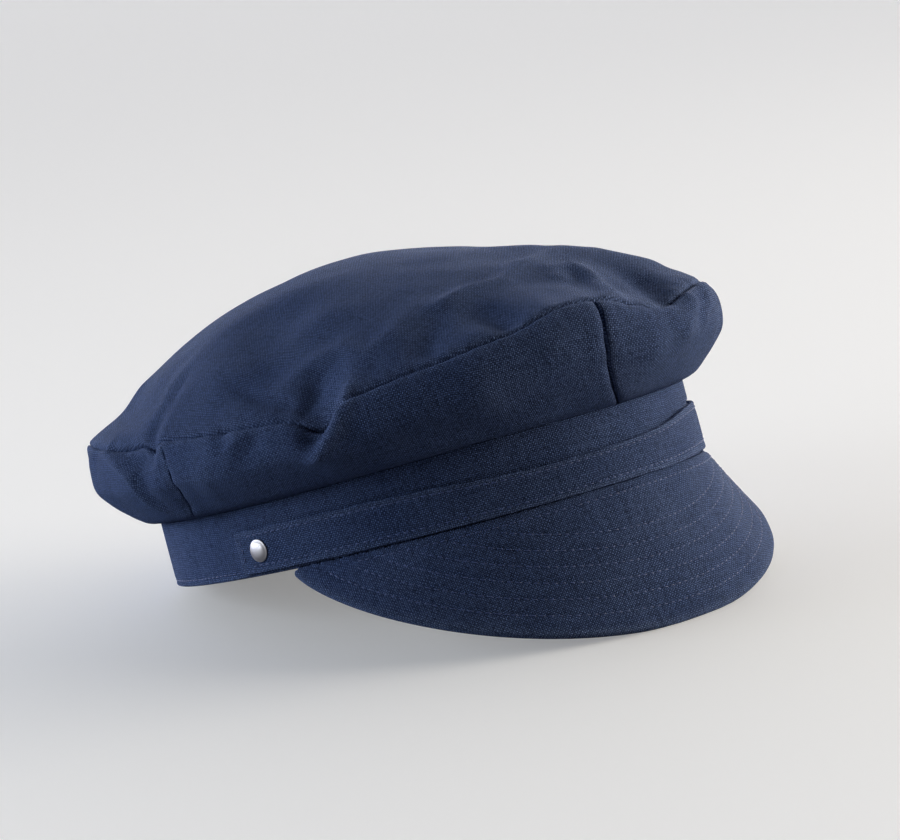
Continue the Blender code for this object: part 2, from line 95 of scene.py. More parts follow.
toward = np.array([
    -math.sin(CAMERA_TURN) * math.cos(CAMERA_RISE),
    -math.cos(CAMERA_TURN) * math.cos(CAMERA_RISE),
    math.sin(CAMERA_RISE),
])
level = np.array([math.cos(CAMERA_TURN), -math.sin(CAMERA_TURN), 0.0])
upward = np.cross(toward, level)
right = level * math.cos(CAMERA_ROLL) - upward * math.sin(CAMERA_ROLL)
upright = level * math.sin(CAMERA_ROLL) + upward * math.cos(CAMERA_ROLL)
aside = PICTURE / 2 - CAP_PIXEL
look = right * aside[0] - upright * aside[1] - toward * FOCAL_PIXELS
look /= np.linalg.norm(look)
across = np.cross(look, upright)
across /= np.linalg.norm(across)
axes = [lean_back(a) for a in (across, np.cross(across, look), -look)]

camera_data = bpy.data.cameras.new("camera")
camera_data.lens = FOCAL_PIXELS / PICTURE[0] * camera_data.sensor_width
camera_data.clip_start, camera_data.clip_end = 0.05, 60.0
camera = bpy.data.objects.new("camera", camera_data)
camera.matrix_world = Matrix.Translation(at_rest(toward * CAMERA_REACH)) @ Matrix(axes).transposed().to_4x4()
bpy.context.scene.collection.objects.link(camera)
bpy.context.scene.camera = camera
print("camera at", [round(v, 3) for v in camera.location], "lens", round(camera_data.lens, 1), "mm")

# %% [markdown]
# ## Sizes of the cap
#
# These are the cap's own sizes, in millimetres and degrees. They are the same as in the CAD
# source, so the fine cloth lies where the plain solids are. The tables give shares of them:
# how the height of the rim seam wanders round the cap, how a side bellies out, and where the
# soft crown has folded.

# %% Named sizes
HEAD_LENGTH = 198.0
HEAD_WIDTH = 166.0
BAND_WALL = 2.0
BAND_HEIGHT = 25.0
CROWN_WALL = 1.6
SEAM_RISE = 29.0
OVERHANG = 17.0
SWELL = 2.6
DOME_RISE = 40.0
APEX_BACK = 8.0
FOLD_DEPTH = 4.0
FOLD_WIDTH = 8.0
SEAM_GROOVE = 1.1
PEAK_REACH = 47.2
PEAK_EDGE = 1.0
PEAK_ARC = 76.0
PEAK_SLOPE = 75.0
PEAK_SLOPE_FALL = 33.0
PEAK_FULLNESS = 0.93
PEAK_THICKNESS = 3.2
STRAP_WALL = 1.5
STRAP_HEIGHT = 12.6
STRAP_LOW = 1.2
STRAP_ARC = 88.6
STUD_DIAMETER = 7.6
STUD_HEIGHT = 1.3
STUD_TURN = 82.6
STUD_RISE = 8.4
GAP = 0.3
LENGTH_RADIUS = HEAD_LENGTH / 2 + BAND_WALL
WIDTH_RADIUS = HEAD_WIDTH / 2 + BAND_WALL

# Round the cap: turn, band top, seam rise, overhang, swell, dome slack (all shares)
SECTIONS = np.array([
    (-180, 0.94, 0.94, 1.00, 0.30, -0.13),
    (-150, 0.95, 0.94, 0.98, 0.35, 0.00),
    (-120, 0.97, 0.96, 0.96, 0.45, 0.38),
    (-90, 0.99, 0.99, 0.94, 0.50, 0.64),
    (-60, 1.01, 1.00, 0.92, 0.50, 0.64),
    (-40, 1.02, 1.00, 0.91, 0.40, 0.46),
    (-27, 1.02, 1.07, 0.95, 0.50, 0.22),
    (-14, 1.01, 1.03, 1.00, 0.60, 0.38),
    (0, 1.00, 1.08, 1.00, 0.60, 0.46),
    (13, 1.00, 1.24, 1.00, 0.50, 0.46),
    (22, 1.00, 1.12, 1.00, 0.50, 0.38),
    (32, 1.00, 1.01, 1.00, 0.50, 0.22),
    (43, 0.98, 0.96, 1.00, 0.45, 0.14),
    (54, 0.96, 0.86, 1.00, 0.35, 0.07),
    (65, 0.94, 0.84, 1.00, 0.30, 0.00),
    (76, 0.92, 0.90, 1.00, 0.20, -0.13),
    (88, 0.91, 0.97, 1.00, 0.10, -0.20),
    (104, 0.90, 1.00, 1.00, 0.05, -0.18),
    (125, 0.91, 1.10, 1.00, 0.00, -0.14),
    (152, 0.93, 1.06, 1.00, 0.10, -0.18),
    (180, 0.94, 0.94, 1.00, 0.30, -0.13),
])

# Up the side: place, outward share, height share, belly share
PROFILE = np.array([
    (0.00, 0.00, 0.00, 0.0),
    (0.15, 0.34, 0.05, 0.0),
    (0.30, 0.62, 0.18, 0.0),
    (0.45, 0.88, 0.33, 0.1),
    (0.60, 1.09, 0.49, 0.4),
    (0.75, 1.12, 0.69, 1.0),
    (0.90, 1.08, 0.88, 0.8),
    (1.00, 1.00, 1.00, 0.0),
])

# Drops of the rim seam: turn, half turn, drop as a share of the seam's rise
RIM_DIPS = np.array([
    (57.5, 4.4, -0.20),
    (94.0, 2.2, -0.09),
    (-6.0, 5.5, -0.09),
])

# Folds, as runs of spots: run, turn, place, half width, depth (shares; less than 0 is a hollow)
FOLDS = np.array([
    (1, 77.5, 1.60, 0.90, 0.10),
    (1, 89.5, 1.44, 0.80, 0.16),
    (1, 95.0, 1.29, 0.75, 0.14),
    (1, 97.5, 1.18, 0.60, 0.14),
    (1, 94.0, 1.09, 0.53, 0.22),
    (1, 91.0, 1.01, 0.47, 0.20),
    (2, 71.0, 1.37, 1.62, -0.45),
    (2, 69.0, 1.17, 1.50, -0.60),
    (3, 80.5, 1.17, 0.35, -0.10),
    (3, 70.5, 1.08, 0.33, -0.35),
    (3, 63.5, 1.04, 0.33, -0.38),
    (3, 61.0, 1.06, 0.33, 0.00),
    (4, 74.0, 1.06, 0.62, 0.12),
    (4, 65.5, 1.01, 0.62, 0.23),
    (4, 61.5, 1.00, 0.62, 0.10),
    (5, 63.5, 1.12, 0.56, 0.10),
    (5, 58.5, 1.18, 0.56, 0.30),
    (5, 52.5, 1.18, 0.56, 0.33),
    (5, 47.5, 1.12, 0.56, 0.25),
    (5, 42.0, 1.16, 0.56, 0.30),
    (5, 33.5, 1.29, 0.56, 0.12),
    (6, 52.0, 1.18, 0.44, 0.06),
    (6, 51.0, 1.10, 0.44, 0.08),
    (6, 51.0, 1.03, 0.44, 0.10),
    (7, 57.0, 1.17, 0.60, 0.20),
    (7, 58.5, 1.08, 0.38, -0.45),
    (7, 60.0, 1.04, 0.36, -0.35),
    (8, 58.5, 0.97, 0.50, -0.60),
    (8, 59.5, 0.84, 0.50, -0.95),
    (8, 60.5, 0.68, 0.38, -0.45),
    (9, 61.0, 0.54, 0.33, 0.20),
    (9, 60.0, 0.62, 0.35, 0.55),
    (9, 58.0, 0.75, 0.36, 0.75),
    (9, 55.0, 0.83, 0.36, 0.75),
    (9, 52.7, 0.95, 0.38, 0.60),
    (9, 51.5, 1.03, 0.38, 0.25),
    (10, 76.5, 0.97, 0.38, -0.38),
    (10, 76.0, 0.87, 0.38, -0.15),
    (11, 70.0, 0.84, 0.50, -0.38),
    (11, 73.0, 0.66, 0.50, -0.20),
    (12, 75.0, 0.75, 0.31, 0.10),
    (12, 72.5, 0.87, 0.31, 0.20),
    (12, 69.5, 0.95, 0.31, 0.15),
    (13, 107.0, 0.98, 0.50, -0.35),
    (13, 101.0, 0.94, 0.55, -0.70),
    (13, 95.0, 0.92, 0.57, -0.70),
    (14, 98.0, 0.84, 0.55, -0.40),
    (14, 96.5, 0.74, 0.50, -0.20),
    (15, 110.5, 0.97, 0.34, 0.45),
    (15, 103.5, 0.83, 0.33, 0.80),
    (15, 99.5, 0.71, 0.33, 0.85),
    (15, 98.5, 0.45, 0.33, 0.70),
    (15, 96.5, 0.27, 0.35, 0.45),
    (15, 93.5, 0.20, 0.40, 0.20),
    (16, 78.5, 0.84, 0.50, 0.07),
    (16, 82.0, 0.60, 0.50, 0.20),
    (16, 84.0, 0.36, 0.50, 0.12),
    (17, 34.0, 1.20, 0.50, 0.15),
    (17, 30.5, 1.23, 0.53, 0.40),
    (17, 21.0, 1.28, 0.55, 0.60),
    (17, 11.5, 1.30, 0.56, 0.60),
    (17, -6.0, 1.38, 0.56, 0.45),
    (17, -25.5, 1.37, 0.56, 0.20),
    (18, 24.0, 1.14, 0.75, -0.55),
    (18, 23.0, 1.05, 0.62, -0.60),
    (19, 32.0, 1.20, 0.62, -0.30),
    (19, 37.5, 1.06, 0.62, -0.45),
    (20, 28.0, 1.05, 0.50, 0.20),
    (20, 33.0, 1.06, 0.50, 0.12),
    (21, -12.0, 1.28, 0.47, 0.35),
    (21, -7.5, 1.19, 0.47, 0.60),
    (21, 0.0, 1.06, 0.47, 0.60),
    (21, 4.0, 1.01, 0.47, 0.30),
    (22, -20.0, 1.22, 0.75, -0.25),
    (22, -16.5, 1.12, 0.81, -0.70),
    (22, -11.0, 1.02, 0.81, -0.90),
    (23, 9.0, 1.13, 0.56, -0.15),
    (23, 12.0, 1.04, 0.56, -0.20),
    (24, 17.5, 0.93, 1.00, 0.12),
    (24, 18.0, 0.74, 1.00, 0.23),
    (25, -17.0, 0.89, 0.40, 0.23),
    (25, -12.0, 0.68, 0.40, 0.20),
    (26, -25.0, 0.93, 0.40, 0.20),
    (26, -20.0, 0.72, 0.40, 0.23),
    (27, -21.0, 0.84, 0.38, -0.23),
    (27, -17.0, 0.72, 0.38, -0.15),
    (28, -6.5, 0.84, 0.62, -0.15),
    (28, -7.5, 0.59, 0.62, -0.25),
    (29, 23.5, 0.79, 0.88, -0.12),
    (29, 27.5, 0.71, 0.88, -0.23),
    (30, 40.0, 0.60, 0.75, 0.12),
    (30, 31.0, 0.45, 0.75, 0.20),
    (31, 44.0, 0.35, 0.75, -0.12),
    (31, 33.0, 0.28, 0.75, -0.15),
    (32, 103.0, 1.10, 0.75, -0.15),
    (32, 118.0, 1.12, 1.12, -0.90),
    (32, 138.0, 1.12, 1.12, -0.60),
    (33, -34.0, 0.95, 0.69, -0.47),
    (33, -34.0, 0.60, 0.69, -0.30),
    (34, -62.0, 1.02, 0.75, -0.30),
    (34, -62.0, 0.66, 0.75, -0.47),
    (35, -48.0, 1.02, 0.50, 0.38),
    (35, -44.0, 1.20, 0.56, 0.20),
    (36, -80.0, 0.95, 0.62, -0.47),
    (36, -84.0, 0.58, 0.62, -0.25),
    (37, -104.0, 1.02, 0.56, 0.33),
    (37, -98.0, 1.20, 0.62, 0.15),
    (38, -118.0, 1.00, 0.75, -0.40),
    (38, -116.0, 0.60, 0.75, -0.40),
    (39, -135.0, 0.92, 0.62, -0.42),
    (39, -132.0, 0.55, 0.62, -0.20),
    (40, -152.0, 0.96, 0.75, -0.38),
    (40, -150.0, 0.58, 0.75, -0.30),
    (41, -165.0, 1.00, 0.50, 0.30),
    (41, -160.0, 1.15, 0.62, 0.15),
    (42, 165.0, 0.92, 0.62, -0.40),
    (42, 168.0, 0.58, 0.62, -0.20),
    (43, 148.0, 0.97, 0.75, -0.45),
    (43, 146.0, 0.58, 0.75, -0.30),
    (44, 131.0, 1.00, 0.50, 0.33),
    (44, 127.0, 1.20, 0.62, 0.17),
    (45, 119.0, 0.92, 0.62, -0.35),
    (45, 121.0, 0.62, 0.62, -0.20),
    (46, -97.0, 1.42, 1.50, -0.40),
    (46, -65.0, 1.25, 1.50, -0.40),
    (47, -160.0, 1.35, 1.50, -0.38),
    (47, -122.0, 1.25, 1.50, -0.38),
    (48, 168.0, 1.20, 1.38, -0.35),
    (48, 142.0, 1.22, 1.38, -0.35),
    (49, -6.0, 1.29, 0.55, 0.30),
    (49, -2.0, 1.25, 0.55, 0.30),
    (50, -34.0, 1.42, 1.50, 0.40),
    (50, -33.0, 1.28, 1.40, 0.85),
    (50, -31.0, 1.15, 1.20, 0.80),
    (50, -31.0, 1.08, 0.90, 0.40),
    (51, -30.0, 1.76, 2.00, -0.25),
    (51, -30.0, 1.62, 1.80, -0.35),
])

# Turn of each seam between two side panels: at the band, half way up, at the rim, and how far
# it hooks aside just below the rim
SEAMS = np.array([
    (-0.5, 7.3, 6.3, 1.2),
    (98.0, 90.3, 91.0, 0.0),
    (180.0, 180.0, 180.0, 0.0),
    (263.0, 269.0, 270.0, 0.0),
])

# Strap: turn, extra height of its lower and upper edge (shares of its height), and how far
# these two edges stand off the band (shares of its wall)
STRAP_LIE = np.array([
    (-90, 0.00, 0.04, 0.0, 0.0),
    (-60, 0.03, 0.27, 0.1, 0.0),
    (-42, 0.05, 0.31, 0.1, 0.0),
    (-25, 0.02, 0.25, 0.1, 0.0),
    (-12, -0.02, 0.05, 0.0, 0.0),
    (0, 0.00, -0.05, 0.0, 0.0),
    (25, 0.00, -0.08, 0.0, 0.0),
    (50, 0.00, 0.10, 0.0, 0.0),
    (70, 0.00, 0.13, 0.0, 0.0),
    (90, 0.00, 0.12, 0.0, 0.0),
])
print("band", HEAD_LENGTH, "x", HEAD_WIDTH, "mm inside,", int(FOLDS[-1, 0]), "folds")

# %% [markdown]
# ## The crown as a surface
#
# Soft cloth could be sculpted by hand or dropped in a cloth simulation. Here the crown is a
# function instead: a turn round the cap and a place up the cloth give a point. Place 0 is the
# band's seam, 1 the rim seam and 2 the middle of the top. The folds are bumps and hollows that
# are added along the cloth's outward direction, so each one can be moved by changing one row.

# %% Read the tables, and the plain crown
def smooth_column(table, column, at, period=None):
    """Read one column of a table at any place, on a smooth curve through its rows."""
    x, y = table[:, 0], table[:, column]
    at = np.asarray(at, float)
    if period:
        at = (at - x[0]) % period + x[0]
    i = np.clip(np.searchsorted(x, at, side="right") - 1, 0, len(x) - 2)
    step = x[i + 1] - x[i]
    slope = np.gradient(y, x)
    if period:
        slope[0] = slope[-1] = (y[1] - y[-2]) / (x[1] - x[0] + x[-1] - x[-2])
    u = np.clip((at - x[i]) / step, 0, 1)
    rise = (2 * u**3 - 3 * u**2 + 1) * y[i] + (3 * u**2 - 2 * u**3) * y[i + 1]
    return rise + step * ((u**3 - 2 * u**2 + u) * slope[i] + (u**3 - u**2) * slope[i + 1])


def around(turn):
    """Point of the band's outside at a turn, and the level outward direction there."""
    a = np.radians(turn)
    flat = np.zeros_like(a)
    point = np.stack([-WIDTH_RADIUS * np.sin(a), -LENGTH_RADIUS * np.cos(a), flat], -1)
    out = np.stack([-LENGTH_RADIUS * np.sin(a), -WIDTH_RADIUS * np.cos(a), flat], -1)
    return point, out / np.linalg.norm(out, axis=-1, keepdims=True)


def turn_apart(turn, at):
    return (turn - at + 180) % 360 - 180


def band_top(turn):
    return BAND_HEIGHT * smooth_column(SECTIONS, 1, turn, 360)


def rim_height(turn):
    height = band_top(turn) + SEAM_RISE * smooth_column(SECTIONS, 2, turn, 360)
    for at, half, drop in RIM_DIPS:
        height = height + SEAM_RISE * drop * np.exp(-(turn_apart(turn, at) / half) ** 2)
    return height


def plain_crown(turn, place):
    """Crown without its folds. Place runs from 0 at the band over 1 at the rim to 2."""
    point, out = around(turn)
    low = band_top(turn) + 0.1 * GAP
    rim = rim_height(turn)
    overhang = OVERHANG * smooth_column(SECTIONS, 3, turn, 360)
    swell = SWELL * smooth_column(SECTIONS, 4, turn, 360)
    slack = smooth_column(SECTIONS, 5, turn, 360)
    up = np.clip(place, 0, 1)
    root = 0.2 * (BAND_WALL - GAP) * (1 - np.clip(up / 0.1, 0, 1)) ** 2
    away = overhang * smooth_column(PROFILE, 1, up) + swell * smooth_column(PROFILE, 3, up) - root
    side = point + out * away[..., None]
    side[..., 2] = low + (rim - low) * smooth_column(PROFILE, 2, up)
    share = np.clip(2 - place, 0, 1)
    middle = np.array([0.0, APEX_BACK, 0.0])
    top = middle + (point + out * overhang[..., None] - middle) * share[..., None]
    apex = BAND_HEIGHT + SEAM_RISE + DOME_RISE
    calm = BAND_HEIGHT + SEAM_RISE * (0.96 + 0.04 * np.cos(np.radians(turn)))
    dome = share ** 2 * (1 + slack * (1 - share))
    fade = np.clip(1 - (place - 1) / 0.42, 0, 1) ** 2
    top[..., 2] = calm + (apex - calm) * (1 - dome) + (rim - calm) * fade
    return np.where((place <= 1)[..., None], side, top)


def facing(surface, turn, place, turn_step=1.0, place_step=0.03):
    """Outward direction of a surface of turn and place, from its own slopes."""
    high, low = np.clip(place + place_step, 0, 2), np.clip(place - place_step, 0, 2)
    across = surface(turn - turn_step, place) - surface(turn + turn_step, place)
    normal = np.cross(across, surface(turn, high) - surface(turn, low))
    return normal / np.maximum(np.linalg.norm(normal, axis=-1, keepdims=True), 1e-9)


print("rim seam stands", np.round(rim_height(np.array([0.0, 90.0, 180.0])), 1), "mm above the band's edge")

# %% [markdown]
# ## Folds, creases and slack cloth
#
# Three sizes of unevenness make cloth read as cloth. The main folds come from the tables above.
# Narrow creases run out of them. Last, handling leaves the whole crown faintly uneven: a sum of
# slow waves in many directions, with a fixed seed, is enough for that and costs nothing.

# %% Lift of the crown's cloth
seeded = np.random.default_rng(11)
WAVE_WAYS = seeded.normal(size=(26, 3))
WAVE_WAYS /= np.linalg.norm(WAVE_WAYS, axis=1, keepdims=True)
WAVE_LENGTHS = seeded.uniform(13.0, 42.0, 26)
WAVE_STARTS = seeded.uniform(0, 2 * np.pi, 26)


def slow_waves(points):
    """Smooth unevenness between about -1 and 1 at points in mm."""
    total = np.zeros(points.shape[:-1])
    for way, length, start in zip(WAVE_WAYS, WAVE_LENGTHS, WAVE_STARTS):
        total += np.sin((points @ way) * (2 * np.pi / length) + start) * (length / 30.0)
    return total / 4.5


def seam_turn(seam, place):
    """Turn of a seam between two side panels, on a curve through its three turns."""
    low, middle, high, hook = seam
    p = np.clip(place, 0, 1)
    curve = low * (1 - p) * (1 - 2 * p) + middle * 4 * p * (1 - p) + high * p * (2 * p - 1)
    return curve + hook * np.exp(-((1 - p) / 0.08) ** 2)


def one_run(rows, points):
    """Lift from one fold: the nearest stretch between two of its spots decides."""
    spots = plain_crown(rows[:, 1], rows[:, 2])
    lift = np.zeros(points.shape[:-1])
    for k in range(len(rows) - 1):
        run = spots[k + 1] - spots[k]
        along = np.clip(((points - spots[k]) @ run) / (run @ run), 0, 1)
        away = np.linalg.norm(points - spots[k] - along[..., None] * run, axis=-1)
        half = FOLD_WIDTH * (rows[k, 3] + (rows[k + 1, 3] - rows[k, 3]) * along)
        depth = FOLD_DEPTH * (rows[k, 4] + (rows[k + 1, 4] - rows[k, 4]) * along)
        stretch = depth * np.exp(-(away / half) ** 2)
        lift = np.where(np.abs(stretch) > np.abs(lift), stretch, lift)
    return lift


def fold_lift(turn, place):
    """How far folds, slackness and seams lift the crown's cloth, in mm."""
    points = plain_crown(turn, place)
    lift = 0.32 * slow_waves(points)
    for number in range(1, int(FOLDS[-1, 0]) + 1):
        lift += one_run(FOLDS[FOLDS[:, 0] == number], points)
    groove_ = np.clip(1 - place, 0, 1) * np.clip(place / 0.15, 0, 1)
    for seam in SEAMS:
        away = np.abs(turn_apart(turn, seam_turn(seam, place)))
        lift -= 0.4 * SEAM_GROOVE * np.clip(groove_ * 6, 0, 1) * np.exp(-(away / 1.3) ** 2)
    return lift * np.clip(place / 0.2, 0, 1)


def crown(turn, place):
    """Outside of the crown with its folds."""
    turn, place = np.broadcast_arrays(np.asarray(turn, float), np.asarray(place, float))
    out = facing(plain_crown, turn, np.minimum(place, 1.985))
    return plain_crown(turn, place) + out * fold_lift(turn, place)[..., None]


print("deepest fold", round(-FOLD_DEPTH * FOLDS[:, 4].min(), 1), "mm")

# %% [markdown]
# ## Closed shells of cloth
#
# Cloth has two sides and an edge. Each piece is therefore a closed shell: an outer grid, an
# inner grid one cloth thickness below it, and a strip of faces round the border. A solidify
# modifier could do that too, but here the two sides differ, because the outside rolls into the
# seams and the inside stays plain. Every shell also carries two things for its material: a map
# in millimetres of the flat cloth it was cut from, and how much each spot is rubbed by wear.

# %% Make a shell from its two grids
def grid_faces(rows, columns, ring, first, flip):
    """Corners of a grid's cells, as point numbers and as (row, column) of the flat map."""
    i, j = np.mgrid[0:rows - 1, 0:columns if ring else columns - 1]
    i, j = i.ravel(), j.ravel()
    corners = [(i, j), (i, j + 1), (i + 1, j + 1), (i + 1, j)]
    if flip:
        corners.reverse()
    points = np.stack([first + r * columns + c % columns for r, c in corners], 1)
    return points, np.stack([np.stack([r, c], -1) for r, c in corners], 1)


def border_faces(outer, inner, places):
    """Strip of faces between a line of outer points and a line of inner points."""
    points = np.stack([outer[:-1], outer[1:], inner[1:], inner[:-1]], 1)
    spots = np.stack([places[:-1], places[1:], places[1:], places[:-1]], 1)
    return points, spots


def smooth_mesh(name, points, faces, flat=None, rubbed=None):
    """Mesh object from points in the upright frame, its faces and its cloth maps."""
    mesh = bpy.data.meshes.new(name)
    mesh.from_pydata(at_rest(points).tolist(), [], [list(f) for f in faces])
    if flat is not None:
        cloth = mesh.uv_layers.new(name="flat_cloth")
        cloth.data.foreach_set("uv", np.asarray(flat, np.float32).ravel())
    if rubbed is not None:
        wear = mesh.attributes.new("rubbed", "FLOAT", "POINT")
        wear.data.foreach_set("value", np.clip(rubbed, 0, 1).astype(np.float32))
    body = bmesh.new()
    body.from_mesh(mesh)
    bmesh.ops.recalc_face_normals(body, faces=body.faces[:])
    body.to_mesh(mesh)
    body.free()
    mesh.polygons.foreach_set("use_smooth", np.ones(len(mesh.polygons), bool))
    piece = bpy.data.objects.new(name, mesh)
    bpy.context.scene.collection.objects.link(piece)
    return piece


def cloth_shell(name, outside, inside, flat, rubbed, ring=False, tips=None):
    """Closed shell. The flat map has one column more than the grids where they form a ring."""
    rows, columns = outside.shape[:2]
    kept = np.linspace(0, rows - 1, inside.shape[0]).round().astype(int)
    count = rows * columns
    faces, spots = [], []
    for made in (grid_faces(rows, columns, ring, 0, False),
                 grid_faces(len(kept), columns, ring, count, True)):
        faces.append(made[0])
        spots.append(made[1])
    spots[1] = np.stack([kept[spots[1][..., 0]], spots[1][..., 1]], -1)
    line = np.arange(columns + 1 if ring else columns)
    ends = [(0, 0)] if tips is not None else [(0, 0), (rows - 1, len(kept) - 1)]
    for outer_row, inner_row in ends:
        places = np.stack([np.full_like(line, outer_row), line], -1)
        made = border_faces(outer_row * columns + line % columns,
                            count + inner_row * columns + line % columns, places)
        faces.append(made[0])
        spots.append(made[1])
    if not ring:
        steps = np.arange(rows)
        for column in (0, columns - 1):
            places = np.stack([steps, np.full_like(steps, column)], -1)
            made = border_faces(steps * columns + column, count + steps * columns + column, places)
            faces.append(made[0])
            spots.append(made[1])
    faces, spots = np.concatenate(faces), np.concatenate(spots)
    maps = flat[spots[..., 0], spots[..., 1]].reshape(-1, 2)
    points = np.concatenate([outside.reshape(-1, 3), inside.reshape(-1, 3)])
    worn = np.concatenate([rubbed.ravel(), np.zeros(inside.shape[0] * columns)])
    faces = faces.tolist()
    if tips is not None:
        j = np.arange(columns)
        last_outer, last_inner = (rows - 1) * columns, count + (len(kept) - 1) * columns
        for last, row, tip in ((last_outer, rows - 1, 0), (last_inner, kept[-1], 1)):
            fan = np.stack([last + j, last + (j + 1) % columns, np.full_like(j, len(points) + tip)], 1)
            faces += fan.tolist()
            fan_map = np.stack([flat[row, j], flat[row, j + 1], np.zeros((columns, 2))], 1)
            maps = np.concatenate([maps, fan_map.reshape(-1, 2)])
        points = np.concatenate([points, tips])
        worn = np.concatenate([worn, [0.2, 0.0]])
    return smooth_mesh(name, points, faces, maps, worn)


def dress(piece, material, slot, *nodes):
    """Give a piece its material, fix it to the cap and hide the CAD nodes that it takes the place of."""
    piece.data.materials.clear()
    piece.data.materials.append(material)
    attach(piece, "root")
    if nodes:
        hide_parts(*nodes)
    print(piece.name, "has", sum(len(f.vertices) - 2 for f in piece.data.polygons), "triangles")


# %% [markdown]
# ## Colour and nodes
#
# Colours are written as the sRGB hex values that one would pick from a swatch, and one function
# turns them into the linear values that the renderer works with. A second function adds a node,
# sets it up and links it in one go.

# %% Helpers for materials
def linear(hex_colour):
    """sRGB hex to linear red, green, blue, alpha."""
    parts = [int(hex_colour[i:i + 2], 16) / 255 for i in (1, 3, 5)]
    return (*(c / 12.92 if c <= 0.04045 else ((c + 0.055) / 1.055) ** 2.4 for c in parts), 1.0)


def add(tree, kind, inputs=None, **settings):
    """Add a node. Each input is a value or the output socket of another node."""
    made = tree.nodes.new(kind)
    for name, value in settings.items():
        setattr(made, name, value)
    for name, value in (inputs or {}).items():
        if isinstance(value, bpy.types.NodeSocket):
            tree.links.new(value, made.inputs[name])
        else:
            made.inputs[name].default_value = value
    return made


def new_material(name):
    material = bpy.data.materials.new(name)
    material.use_nodes = True
    tree = material.node_tree
    return material, tree, tree.nodes["Principled BSDF"]


print("navy", [round(c, 4) for c in linear("#2b3a60")])

# %% [markdown]
# ## Navy cotton canvas
#
# Heavy canvas is a plain weave: each thread passes over one and under the next, in both
# directions, so the surface is a chequer of tiny pillows. Matt cotton scatters light softly and
# has a faint pale bloom at grazing angles from its loose fibres, which is what sheen is for. The
# threads stand 0.63 mm apart. Their pattern is worked out from the flat map in millimetres: two
# sine waves cross, and their product tells where a thread lies on top. The colour is painted
# darker in the gaps and lighter on the thread tops, as painted shade and painted highlight of the
# weave. Thick and thin spots in the yarn and an uneven dye break it up.

# %% The canvas material
THREAD = 0.63   # mm from one thread to the next


